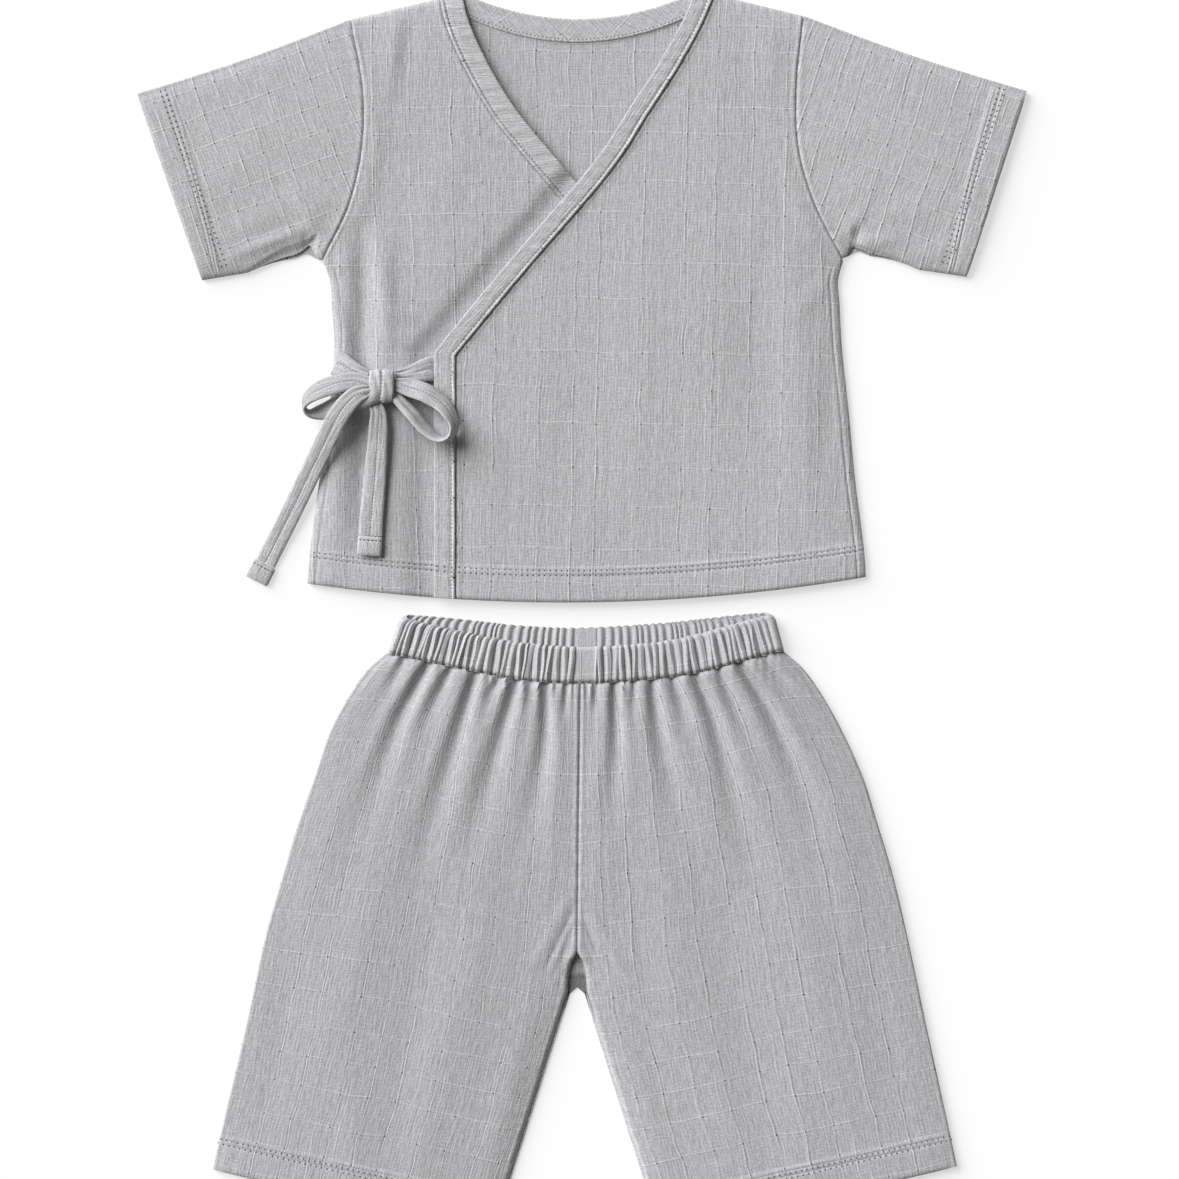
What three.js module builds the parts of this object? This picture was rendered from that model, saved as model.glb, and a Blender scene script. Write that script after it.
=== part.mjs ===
// A child's two-piece set laid flat: a short-sleeved wrap top tied at the side, and pull-on trousers
// with a gathered elastic waist. Millimetres, X to the right and Y towards the neck as the set is
// seen from above, Z up from the surface that it lies on. "Over" is the front that lies on top.
import * as THREE from "three";

// Cloth
const wall = 1.0; // thickness of one layer
const seam = 0.3; // between pieces that are sewn together
const bandThick = 2.0; // a doubled band or tie
const flatMid = wall / 2; // middle of a layer that lies on the surface
const nextLayer = wall + seam; // from the middle of a layer to the middle of the one on it
const foldRadius = 1.3; // middle of the cloth where it turns back on itself

// The top
const neckCentre = -2.4; // X of the neck's centre line
const hemCentre = -8; // X of the hem's lowest point
const hemLowest = 5;
const hemCurve = 42; // the hem rises by 1 at this distance from its centre, by 4 at twice it
const underarm = 176; // Y of both underarm points
const wrapCorner = 130; // Y where the wrap's edge turns down to the hem
const overBand = 9.5; // widths of the edge binding along the over front
const wrapBand = 10.8; // in its straight run down to the hem
const underBand = 11.3; // and along the under front
const backNeckLowest = 284.75; // Y of the seam at the middle of the back neck
const backNeckCurve = 15.5;
const neckTopLowest = 296.8; // and of the free edge above it
const neckTopCurve = 16.1;
const shoulders = {
  left: { x: -115.8, y: 296.2, slope: 0.235 },
  right: { x: 110.6, y: 297.9, slope: -0.245 },
};

const sideSeams = [
  { y: 10, left: -137.6, right: 142.3 },
  { y: 31, left: -136.0, right: 141.0 },
  { y: 66, left: -131.3, right: 136.6 },
  { y: 102, left: -126.4, right: 133.2 },
  { y: 131, left: -123.9, right: 130.1 },
  { y: 155, left: -125.0, right: 128.9 },
  { y: 176, left: -129.8, right: 130.6 },
];
const armholes = [
  { y: 176, left: -129.8, right: 130.6 },
  { y: 203, left: -116.5, right: 116.6 },
  { y: 231, left: -109.9, right: 108.3 },
  { y: 262, left: -109.3, right: 107.1 },
  { y: 297, left: -116.1, right: 110.6 },
];
// The free edge of each front, as its distance to the right (over) or left (under) of the neck's centre.
const frontEdges = [
  { y: 130, over: -71.6, under: -71.6 },
  { y: 176, over: -33.5, under: -33.5 },
  { y: 214.7, over: -0.1, under: 0.1 },
  { y: 233.6, over: 14.6, under: 16.4 },
  { y: 252, over: 26.2, under: 31.2 },
  { y: 275, over: 41.1, under: 45.0 },
  { y: 295.6, over: 52.6, under: 54.2 },
  { y: 314, over: 60.6, under: 58.6 },
];
const sleeves = {
  left: { top: [-222.4, 259.2], bottom: [-190.0, 166.3] },
  right: { top: [222.4, 260.4], bottom: [192.4, 168.0] },
};
const underarmLift = 3.2; // how far the sleeve's lower edge bows up beside the underarm
const topSag = 1.6; // and how far its top edge sags in the middle
// How the upper layer rises from a seam: at once over the turned edge, and then as a low dome.
const rise = { edge: 1.3, edgeOver: 2.5, dome: 1.2, domeOver: 20 };
// Soft folds of the top, each along a line from (x, y) down to (endX, endY).
const topFolds = [
  { x: -117, y: 168, endX: -117, endY: 20, width: 5, height: 1.5 },
  { x: -95, y: 100, endX: -94, endY: 12, width: 6, height: 0.9 },
  { x: -92, y: 306, endX: -94, endY: 262, width: 5, height: 0.9 },
  { x: 34, y: 200, endX: 28, endY: 40, width: 16, height: 0.7 },
  { x: 104, y: 190, endX: 112, endY: 50, width: 12, height: 0.8 },
  { x: 120, y: 180, endX: 96, endY: 236, width: 7, height: 0.8 },
];

// The ties
const knotCentre = { x: -99.7, y: 112.4, z: 9.2 };
const knotSize = { x: 12.4, y: 17.0, z: 7.4 };
// Middle lines of the ties. turn is how far the flat side leans from lying flat, in degrees.
const sideTie = [
  { x: -121.5, y: 123.4, z: 5.6, turn: 0, width: 12.0 },
  { x: -114.5, y: 120.4, z: 6.4, turn: 0, width: 9.0 },
  { x: -106.6, y: 118.0, z: 6.3, turn: 0, width: 5.0 },
];
const frontTie = [
  { x: -74.8, y: 122.0, z: 4.9, turn: 0, width: 12.6 },
  { x: -84.6, y: 118.9, z: 6.4, turn: 0, width: 9.0 },
  { x: -92.9, y: 117.8, z: 6.3, turn: 0, width: 5.0 },
];
const leftLoop = [
  { x: -106.6, y: 114.0, z: 8.7, turn: 0, width: 6.0 },
  { x: -113.0, y: 115.0, z: 9.1, turn: 8, width: 8.8 },
  { x: -121.0, y: 113.8, z: 9.8, turn: 20, width: 10 },
  { x: -129.4, y: 111.2, z: 10.0, turn: 40, width: 10 },
  { x: -135.8, y: 107.0, z: 9.6, turn: 62, width: 10 },
  { x: -138.2, y: 101.6, z: 9.0, turn: 85, width: 10 },
  { x: -135.6, y: 97.4, z: 8.2, turn: 108, width: 10 },
  { x: -129.2, y: 97.8, z: 6.9, turn: 135, width: 9 },
  { x: -123.4, y: 101.2, z: 7.7, turn: 142, width: 8 },
];
const rightLoop = [
  { x: -92.7, y: 113.4, z: 8.7, turn: 0, width: 6.0 },
  { x: -86.4, y: 111.8, z: 9.6, turn: -8, width: 9.0 },
  { x: -78.0, y: 109.0, z: 10.6, turn: -18, width: 10 },
  { x: -70.8, y: 104.4, z: 10.2, turn: -32, width: 10 },
  { x: -65.8, y: 98.4, z: 10.9, turn: -50, width: 10 },
  { x: -63.6, y: 91.8, z: 11.2, turn: -68, width: 10 },
  { x: -66.0, y: 86.6, z: 11.3, turn: -88, width: 10 },
  { x: -71.6, y: 86.2, z: 11.2, turn: -108, width: 10 },
  { x: -77.8, y: 91.0, z: 10.5, turn: -124, width: 10 },
  { x: -84.0, y: 98.2, z: 9.8, turn: -136, width: 9 },
  { x: -90.6, y: 105.4, z: 9.4, turn: -150, width: 6 },
];
const leftTail = [
  { x: -106.6, y: 109.6, z: 11.3, turn: 0, width: 6.0 },
  { x: -114.2, y: 106.0, z: 12.6, turn: 0, width: 9.4 },
  { x: -120.6, y: 98.2, z: 12.6, turn: 0, width: 10.4 },
  { x: -127.0, y: 86.2, z: 9.8, turn: 0, width: 10.4 },
  { x: -134.5, y: 71.8, z: 5.6, turn: 0, width: 10.4 },
  { x: -142.1, y: 56.6, z: 3.2, turn: 0, width: 10.4 },
  { x: -150.8, y: 39.4, z: 1.6, turn: 0, width: 10.4 },
  { x: -158.5, y: 24.4, z: 1.1, turn: 0, width: 10.4 },
];
const rightTail = [
  { x: -101.0, y: 102.4, z: 8.2, turn: 0, width: 8.0 },
  { x: -101.4, y: 95.0, z: 8.2, turn: 0, width: 10.0 },
  { x: -102.2, y: 84.0, z: 7.8, turn: 0, width: 10.5 },
  { x: -103.3, y: 67.0, z: 7.2, turn: 0, width: 10.5 },
  { x: -104.6, y: 49.0, z: 6.9, turn: 0, width: 10.5 },
  { x: -105.4, y: 38.1, z: 6.7, turn: 0, width: 10.5 },
];
const tieEnd = { width: 11.4, length: 9.8, thick: 2.6 };

// The trousers
const frontGathers = 46; // gathers of the waistband
const backGathers = 42;
const legGathers = 10; // folds below the waistband, across the front of one leg
const gatherHeight = 0.7; // half the height of the waistband's gathers
const bandFrontMid = 5.6; // middle of the band's front run, above the surface
const foldHeight = 0.9; // half the height of the folds below the waistband
const foldFade = 46; // distance down the leg over which they die away
const trouserDome = { edge: 1.7, edgeOver: 3, dome: 1.6, domeOver: 26 };
const trouserFold = 1.5; // radius of the leg's outer fold
// The waistband from its left end to its right: its front top and bottom, and its back top.
const waistband = [
  { x: -96.9, frontTop: -1.2, frontLow: -20.8, backTop: -1.2 },
  { x: -75.2, frontTop: -6.6, frontLow: -25.6, backTop: -2.5 },
  { x: -53.6, frontTop: -11.3, frontLow: -29.9, backTop: -4.6 },
  { x: -30.7, frontTop: -15.5, frontLow: -34.2, backTop: -7.0 },
  { x: -1.0, frontTop: -17.7, frontLow: -36.0, backTop: -8.0 },
  { x: 39.7, frontTop: -14.9, frontLow: -33.5, backTop: -5.8 },
  { x: 61.2, frontTop: -10.5, frontLow: -29.9, backTop: -3.6 },
  { x: 82.7, frontTop: -4.6, frontLow: -24.2, backTop: -1.3 },
  { x: 100.7, frontTop: -0.2, frontLow: -19.4, backTop: -0.2 },
];
const bandDepth = 19.2;
const bandLean = 6.2; // how much nearer the middle the ends' tops lie than their feet
const legSides = [
  { y: -19.5, left: -96.2, right: 100.2 },
  { y: -29, left: -107.0, right: 110.6 },
  { y: -42, left: -116.2, right: 119.9 },
  { y: -58.5, left: -125.2, right: 129.2 },
  { y: -83, left: -133.6, right: 140.3 },
  { y: -105, left: -141.4, right: 147.2 },
  { y: -131, left: -149.2, right: 155.0 },
  { y: -160, left: -157.6, right: 161.9 },
  { y: -212, left: -168.9, right: 173.0 },
  { y: -258, left: -179.9, right: 183.1 },
  { y: -282, left: -185.2, right: 188.2 },
];
const legHems = {
  left: { outer: [-184.4, -278.6], inner: [-42.6, -311] },
  right: { outer: [187.3, -277.0], inner: [38.4, -311] },
};
const crotch = { x: -2.35, frontY: -170, backY: -189.4 };
const inseamSpread = 0.317; // how fast the legs part below the crotch
const waistSeamX = -0.9; // X of the centre seams at the waist

const clothFinish = { color: 0xb5b5b8, roughness: 0.92, metalness: 0 };
const set = new THREE.Group();

// A smooth curve through one column of a table, as a function of another column.
function curveOf(table, by, column) {
  const rows = [...table].sort((a, b) => a[by] - b[by]);
  const at = rows.map((row) => row[by]);
  const value = rows.map((row) => row[column]);
  const last = rows.length - 1;
  const slope = value.map((_, i) => {
    const before = Math.max(i - 1, 0);
    const after = Math.min(i + 1, last);
    return (value[after] - value[before]) / (at[after] - at[before]);
  });
  return (x) => {
    if (x <= at[0]) return value[0] + slope[0] * (x - at[0]);
    if (x >= at[last]) return value[last] + slope[last] * (x - at[last]);
    const i = at.findIndex((a, k) => x < at[k + 1]);
    const step = at[i + 1] - at[i];
    const t = (x - at[i]) / step;
    const stay = (1 + 2 * t) * (1 - t) ** 2;
    const leave = t * (1 - t) ** 2 * step;
    const arrive = t * t * (t - 1) * step;
    return value[i] * stay + slope[i] * leave + value[i + 1] * (1 - stay) + slope[i + 1] * arrive;
  };
}

const { lerp, clamp, smoothstep } = THREE.MathUtils;
const saturate = (distance, over) => 1 - Math.exp(-Math.max(distance, 0) / over);
const steps = (count) => Array.from({ length: count + 1 }, (_, i) => i / count);

// A closed solid from two skins of points, rows by columns. Round ones close on themselves.
function solidOfSkins(name, upper, lower, { round = false } = {}) {
  const rows = upper.length;
  const columns = upper[0].length;
  const position = [...upper.flat(), ...lower.flat()].flatMap((p) => [p.x, p.y, p.z]);
  const index = [];
  const at = (skin, row, column) => (skin * rows + row) * columns + (column % columns);
  const quad = (a, b, c, d) => index.push(a, b, c, a, c, d);
  const across = round ? columns : columns - 1;
  for (let r = 0; r < rows - 1; r++)
    for (let c = 0; c < across; c++) {
      quad(at(0, r, c), at(0, r, c + 1), at(0, r + 1, c + 1), at(0, r + 1, c));
      quad(at(1, r, c), at(1, r + 1, c), at(1, r + 1, c + 1), at(1, r, c + 1));
    }
  for (let c = 0; c < across; c++) {
    quad(at(0, 0, c), at(1, 0, c), at(1, 0, c + 1), at(0, 0, c + 1));
    quad(at(0, rows - 1, c + 1), at(1, rows - 1, c + 1), at(1, rows - 1, c), at(0, rows - 1, c));
  }
  for (let r = 0; r < rows - 1 && !round; r++) {
    quad(at(0, r + 1, 0), at(1, r + 1, 0), at(1, r, 0), at(0, r, 0));
    quad(at(0, r, across), at(1, r, across), at(1, r + 1, across), at(0, r + 1, across));
  }
  const geometry = new THREE.BufferGeometry();
  geometry.setAttribute("position", new THREE.Float32BufferAttribute(position, 3));
  geometry.setIndex(index);
  geometry.computeVertexNormals();
  const mesh = new THREE.Mesh(geometry, new THREE.MeshStandardMaterial(clothFinish));
  mesh.name = name;
  set.add(mesh);
  return mesh;
}

// A wall of cloth about a middle surface, rows by columns, given its thickness at each point.
function clothOf(name, middle, thick = () => wall, options = {}) {
  const rows = middle.length;
  const columns = middle[0].length;
  const wrap = (c) => (c + columns) % columns;
  const near = (c) => (options.round ? wrap(c) : clamp(c, 0, columns - 1));
  const skins = [1, -1].map((side) =>
    middle.map((row, r) =>
      row.map((p, c) => {
        const alongRow = row[near(c + 1)].clone().sub(row[near(c - 1)]);
        const up = middle[Math.min(r + 1, rows - 1)][c];
        const alongColumn = up.clone().sub(middle[Math.max(r - 1, 0)][c]);
        const normal = alongRow.cross(alongColumn).normalize();
        return p.clone().addScaledVector(normal, (side * thick(r, c)) / 2);
      }),
    ),
  );
  return solidOfSkins(name, skins[0], skins[1], options);
}

const point = (x, y, z) => new THREE.Vector3(x, y, z);

// The top's outline, and the height of what lies on its back.

const sideAt = {
  left: curveOf(sideSeams, "y", "left"),
  right: curveOf(sideSeams, "y", "right"),
};
const armholeAt = {
  left: curveOf(armholes, "y", "left"),
  right: curveOf(armholes, "y", "right"),
};
const outerEdge = (hand, y) => (y < underarm ? sideAt[hand](y) : armholeAt[hand](y));
const overEdgeAt = curveOf(frontEdges, "y", "over");
const underEdgeAt = curveOf(frontEdges, "y", "under");
// How far right of the neck's centre a front's free edge lies, and the seam of its binding.
const edgeOut = (curve, y) => (y < wrapCorner ? curve(wrapCorner) : curve(y));
function seamOut(curve, y, band) {
  const slant = (curve(y + 1) - curve(y - 1)) / 2;
  return Math.max(curve(wrapCorner) + wrapBand, curve(y) + band * Math.hypot(1, slant));
}
const overEdge = (y) => neckCentre + edgeOut(overEdgeAt, y);
const overSeam = (y) => neckCentre + seamOut(overEdgeAt, y, overBand);
const underEdge = (y) => neckCentre - edgeOut(underEdgeAt, y);
const underSeam = (y) => neckCentre - seamOut(underEdgeAt, y, underBand);

const hemY = (x) => hemLowest + ((x - hemCentre) / hemCurve) ** 2;
const shoulderY = (x, hand) => shoulders[hand].y + shoulders[hand].slope * (x - shoulders[hand].x);
const backNeckY = (x) => backNeckLowest + ((x - neckCentre) / backNeckCurve) ** 2;
const neckTopY = (x) => neckTopLowest + ((x - neckCentre) / neckTopCurve) ** 2;

// The point a share v of the way from the hem to the shoulder line, on an edge given as X by Y.
function onEdge(edge, v, topY) {
  let y = lerp(hemLowest, topY(0), v);
  for (let i = 0; i < 12; i++) y = lerp(hemY(edge(y)), topY(edge(y)), v);
  return new THREE.Vector2(edge(y), y);
}

function distanceToLine(x, y, { x: fromX, y: fromY, endX, endY }) {
  const run = new THREE.Vector2(endX - fromX, endY - fromY);
  const from = new THREE.Vector2(x - fromX, y - fromY);
  const share = clamp(from.dot(run) / run.lengthSq(), 0, 1);
  return { share, distance: from.addScaledVector(run, -share).length() };
}

function foldsAt(x, y, folds) {
  let height = 0;
  for (const fold of folds) {
    const { share, distance } = distanceToLine(x, y, fold);
    const fade = Math.sin(Math.PI * clamp(share, 0.06, 0.94)) ** 0.6;
    height += fold.height * fade * Math.exp(-((distance / fold.width) ** 2));
  }
  return height;
}

const raised = (distance, shape) =>
  shape.edge * saturate(distance, shape.edgeOver) + shape.dome * saturate(distance, shape.domeOver);

// Middle of the upper layer of the body, above the surface.
function bodyTop(x, y) {
  const hand = x < neckCentre ? "left" : "right";
  const beside = y < underarm ? Math.abs(x - sideAt[hand](y)) : Infinity;
  const corner = Math.hypot(x - sideAt[hand](underarm), y - underarm);
  const shoulder = shoulderY(x, hand) - y;
  const distance = Math.min(beside, corner, shoulder);
  const folds = foldsAt(x, y, topFolds) * saturate(distance, 6);
  return flatMid + nextLayer + raised(distance, rise) + folds;
}

const bodyRows = [0, 0.05, 0.13, 0.22, 0.31, 0.4, 0.46, 0.52, 0.582, 0.64, 0.7, 0.77, 0.84, 0.91, 0.96, 1];

// A piece of the body between two edges, its seams eased apart by half a gap.
function bodyPiece(name, leftEdge, rightEdge, topY, columns, heightAt, thick) {
  const rows = bodyRows.map((v) => {
    const left = onEdge(leftEdge, v, topY);
    const right = onEdge(rightEdge, v, topY);
    return columns.map((u) => {
      const x = lerp(left.x + seam / 2, right.x - seam / 2, u);
      const y = lerp(hemY(x), topY(x), v);
      return point(x, y, heightAt(x, y, u));
    });
  });
  return clothOf(name, rows, thick);
}

const leftSide = (y) => outerEdge("left", y);
const rightSide = (y) => outerEdge("right", y);
const leftShoulder = (x) => shoulderY(x, "left") - seam / 2;
const rightShoulder = (x) => shoulderY(x, "right") - seam / 2;

// Back: one panel from side to side, with the neck scooped out of its top edge.
const backTop = (x) => Math.min(leftShoulder(x), rightShoulder(x), backNeckY(x) - seam / 2);
const backColumns = [0, 0.09, 0.187, 0.26, 0.33, 0.41, 0.5, 0.59, 0.67, 0.75, 0.826, 0.91, 1];
bodyPiece("top_back", leftSide, rightSide, backTop, backColumns, () => flatMid);

// Under front: from the left side to its edge, which the over front hides below the neck.
const hidden = (x, y) => smoothstep(x, overEdge(y) - 16, overEdge(y) - 4);
const lowest = flatMid + nextLayer;
const underHeight = (x, y) => Math.max(bodyTop(x, y) - hidden(x, y) * (nextLayer + 0.5), lowest);
const underColumns = [0, 0.015, 0.045, 0.08, 0.115, 0.15, 0.185, 0.22, 0.27, 0.33, 0.45, 0.62, 0.8, 1];
bodyPiece("top_front_under", leftSide, underSeam, leftShoulder, underColumns, underHeight);

// Over front: from its wrapped edge to the right side, on top of the under front.
const overHeight = (x, y) => {
  const overUnder = underHeight(x, y) + nextLayer + 0.1;
  const apart = smoothstep(x, underEdge(y) - 2, underEdge(y) + 12);
  return Math.max(bodyTop(x, y), lerp(overUnder, flatMid + nextLayer, apart));
};
const overColumns = [0, 0.08, 0.17, 0.27, 0.38, 0.49, 0.6, 0.7, 0.79, 0.87, 0.93, 0.975, 1];
bodyPiece("top_front_over", overSeam, rightSide, rightShoulder, overColumns, overHeight);

// Edge binding: a doubled band along each front's free edge, and round the back of the neck.
const overBandHeight = (x, y) => overHeight(x, y) + 0.5;
const underBandHeight = (x, y) => underHeight(x, y) + 0.5 - 0.55 * hidden(x, y);
const bandAcross = [0, 0.12, 0.5, 0.88, 1];
const bandThickness = (row, column) => bandThick * [0.55, 0.9, 1, 0.9, 0.55][column];
bodyPiece("binding_over", overEdge, overSeam, rightShoulder, bandAcross, overBandHeight, bandThickness);
bodyPiece("binding_under", underSeam, underEdge, leftShoulder, bandAcross, underBandHeight, bandThickness);
// The neck's band is pressed thin at its ends, where the fronts' bands turn over the shoulder seams.
const neckEnds = { seamLeft: -72.8, seamRight: 70.8, freeLeft: -58.9, freeRight: 57.3 };
const neckShares = [0, 0.025, 0.06, 0.12, 0.2, 0.29, 0.38, 0.47, 0.56, 0.65, 0.74, 0.82, 0.89, 0.94, 0.975, 1];
const neckRows = bandAcross.map((across) =>
  neckShares.map((u) => {
    const left = lerp(neckEnds.seamLeft, neckEnds.freeLeft, across);
    const right = lerp(neckEnds.seamRight, neckEnds.freeRight, across);
    const x = lerp(left, right, u);
    return point(x, lerp(backNeckY(x) + seam, neckTopY(x), across), 0);
  }),
);
const neckThick = (row, column) => {
  const u = neckShares[column];
  const ends = smoothstep(Math.min(u, 1 - u), 0.01, 0.06);
  return lerp(wall, bandThick, ends) * [0.8, 1, 1, 1, 0.6][row];
};
const neckSkins = [1, 0].map((side) =>
  neckRows.map((row, r) => row.map((p, c) => p.clone().setZ(side * neckThick(r, c)))),
);
solidOfSkins("binding_neck", neckSkins[0], neckSkins[1]);

// Sleeves: each is one piece folded along its top edge, with a seam underneath. At the armhole it
// has the same points as the body.
const armholeRows = bodyRows.filter((v) => v > 0.58);
function sleeve(hand) {
  const { top, bottom } = sleeves[hand];
  const outward = hand === "left" ? -1 : 1;
  const edge = hand === "left" ? leftSide : rightSide;
  const shoulder = hand === "left" ? leftShoulder : rightShoulder;
  const atBody = armholeRows.map((v) => onEdge(edge, v, shoulder));
  const first = atBody[0].y;
  const height = atBody.at(-1).y - first;
  const across = atBody.map((p) => (p.y - first) / height);
  const cuffBottom = new THREE.Vector2(...bottom);
  const cuffTop = new THREE.Vector2(...top);
  const rows = [0, 0.07, 0.16, 0.27, 0.4, 0.55, 0.7, 0.86, 1].map((along) => {
    const spine = atBody.map((p, k) => {
      const cuff = cuffBottom.clone().lerp(cuffTop, across[k]);
      const bow = Math.sin(Math.PI * Math.min(along * 1.6, 1)) * (1 - across[k]) ** 6;
      const sag = Math.sin(Math.PI * along) * across[k] ** 2;
      const bowed = new THREE.Vector2(0, underarmLift * bow - topSag * sag);
      return p.clone().setX(p.x + outward * seam).lerp(cuff, along).add(bowed);
    });
    const up = spine.at(-1).clone().sub(spine.at(-2)).normalize();
    const fold = spine.pop().addScaledVector(up, -foldRadius);
    const flat = [...spine, fold];
    const width = fold.distanceTo(flat[0]);
    const front = flat.map((p) => {
      const lower = p.distanceTo(flat[0]);
      const upper = p.distanceTo(fold);
      const dome = rise.dome * saturate(Math.min(lower, upper), rise.domeOver);
      const crease = Math.exp(-(((along - 0.24) / 0.13) ** 2) - ((lower / width - 0.16) / 0.1) ** 2);
      return point(p.x, p.y, lowest + rise.edge * saturate(lower, rise.edgeOver) + dome + crease);
    });
    const turn = steps(4).slice(1, -1).map((share) => {
      const angle = Math.PI * (0.5 - share);
      const p = fold.clone().addScaledVector(up, foldRadius * Math.cos(angle));
      return point(p.x, p.y, flatMid + foldRadius + foldRadius * Math.sin(angle));
    });
    const back = flat.toReversed().map((p) => point(p.x, p.y, flatMid));
    const section = [...front, ...turn, ...back];
    return hand === "left" ? section : section.reverse();
  });
  clothOf("sleeve_" + hand, rows);
}
sleeve("left");
sleeve("right");

// The ties, tied in a bow. A tie is a flat strip swept along its middle line.
function strip(name, line, { thick = bandThick, stretch = 3 } = {}) {
  const columns = ["x", "y", "z", "turn", "width"];
  const numbered = line.map((row, i) => ({ ...row, i }));
  const at = Object.fromEntries(columns.map((c) => [c, curveOf(numbered, "i", c)]));
  const stations = steps((line.length - 1) * stretch).map((t) => t * (line.length - 1));
  const middle = stations.map((i) => point(at.x(i), at.y(i), at.z(i)));
  const upper = [];
  const lower = [];
  stations.forEach((i, k) => {
    const next = middle[Math.min(k + 1, middle.length - 1)];
    const along = next.clone().sub(middle[Math.max(k - 1, 0)]).normalize();
    const level = point(-along.y, along.x, 0).normalize();
    const lean = THREE.MathUtils.degToRad(at.turn(i));
    const across = level.multiplyScalar(Math.cos(lean)).add(point(0, 0, Math.sin(lean)));
    const normal = along.clone().cross(across).normalize();
    across.copy(normal).cross(along).normalize();
    const half = at.width(i) / 2;
    const skin = (side) =>
      [-1, -0.7, 0.7, 1].map((share) => {
        const height = ((side * thick) / 2) * (Math.abs(share) === 1 ? 0.45 : 1);
        return middle[k].clone().addScaledVector(across, share * half).addScaledVector(normal, height);
      });
    upper.push(skin(1));
    lower.push(skin(-1));
  });
  return solidOfSkins(name, lower, upper);
}
strip("tie_side", sideTie);
strip("tie_front", frontTie);
strip("bow_loop_left", leftLoop, { stretch: 2 });
strip("bow_loop_right", rightLoop, { stretch: 2 });
strip("tie_tail_left", leftTail, { stretch: 2 });
strip("tie_tail_right", rightTail, { stretch: 2 });

// Each tail ends in a turned-up end, stitched across, a little wider than the tie.
function tail(name, line) {
  const [before, last] = line.slice(-2);
  const run = point(last.x - before.x, last.y - before.y, 0).normalize();
  const ends = [0.3, 0.3 + tieEnd.length].map((reach) => ({
    x: last.x + run.x * reach,
    y: last.y + run.y * reach,
    z: Math.max(last.z, tieEnd.thick / 2),
    turn: 0,
    width: tieEnd.width,
  }));
  strip(name, ends, { thick: tieEnd.thick });
}
tail("tie_end_left", leftTail);
tail("tie_end_right", rightTail);

// The knot: the tie wound over the bow's middle, as a rounded barrel.
const knotRings = [0.6, 0.9, 1, 1, 1, 0.9, 0.6];
const knotHalf = knotRings.map((bulge, k) => {
  const x = knotCentre.x + knotSize.x * (k / (knotRings.length - 1) - 0.5);
  const ring = (side) =>
    steps(6).map((share) => {
      const angle = Math.PI * share;
      const y = knotCentre.y - (knotSize.y / 2) * Math.cos(angle) * lerp(1, bulge, 0.5);
      const z = knotCentre.z + side * (knotSize.z / 2) * Math.max(Math.sin(angle), 0.25) * bulge;
      return point(x, y, z);
    });
  return { over: ring(1), under: ring(-1) };
});
solidOfSkins("bow_knot", knotHalf.map((half) => half.under), knotHalf.map((half) => half.over));

// Waistband: one gathered band sewn into a ring, its back run flat on the surface.
const bandAt = Object.fromEntries(
  ["frontTop", "frontLow", "backTop"].map((column) => [column, curveOf(waistband, "x", column)]),
);
const bandEnds = { left: waistband[0].x, right: waistband.at(-1).x };
const bandTurn = (bandFrontMid - flatMid) / 2;
const bandLow = { front: (x) => bandAt.frontLow(x) + seam, back: (x) => bandAt.backTop(x) - bandDepth };
function waistbandRing() {
  const wave = (share, count) => Math.sin(2 * Math.PI * count * share);
  const upAcross = [0, 0.5, 1];
  const skins = upAcross.map((up) => {
    const left = bandEnds.left + bandTurn + bandLean * up;
    const right = bandEnds.right - bandTurn - bandLean * up * 0.8;
    const frontY = (x) => lerp(bandLow.front(x), bandAt.frontTop(x), up);
    const backY = (x) => lerp(bandLow.back(x), bandAt.backTop(x), up);
    const front = steps(frontGathers * 4).slice(1).map((u) => {
      const x = lerp(left, right, u);
      const z = bandFrontMid + gatherHeight * wave(u, frontGathers);
      return [point(x, frontY(x), z + wall / 2), point(x, frontY(x), z - wall / 2)];
    });
    const back = steps(backGathers * 4).slice(1).map((u) => {
      const x = lerp(right, left, u);
      const bump = gatherHeight * (1 + wave(u, backGathers));
      return [point(x, backY(x), 0), point(x, backY(x), wall + bump)];
    });
    const end = (x, outward, turnedFrom, shares) =>
      shares.map((share) => {
        const angle = Math.PI * (turnedFrom - share);
        const ahead = point(Math.cos(angle), 0, Math.sin(angle));
        const fromFront = outward > 0 ? share : 1 - share;
        const y = lerp(frontY(x), backY(x), fromFront) + (1 - up) * seam;
        const mid = point(x, y, flatMid + bandTurn).addScaledVector(ahead, bandTurn);
        const skin = (side) => mid.clone().addScaledVector(ahead, (side * wall) / 2);
        return [skin(1), skin(-1)];
      });
    const turns = steps(6).slice(1, -1);
    return [...front, ...end(right, 1, 0.5, turns), ...back, ...end(left, -1, 1.5, turns)];
  });
  const outer = skins.map((row) => row.map((pair) => pair[0]));
  const inner = skins.map((row) => row.map((pair) => pair[1]));
  solidOfSkins("waistband", outer, inner, { round: true });
}
waistbandRing();

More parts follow.
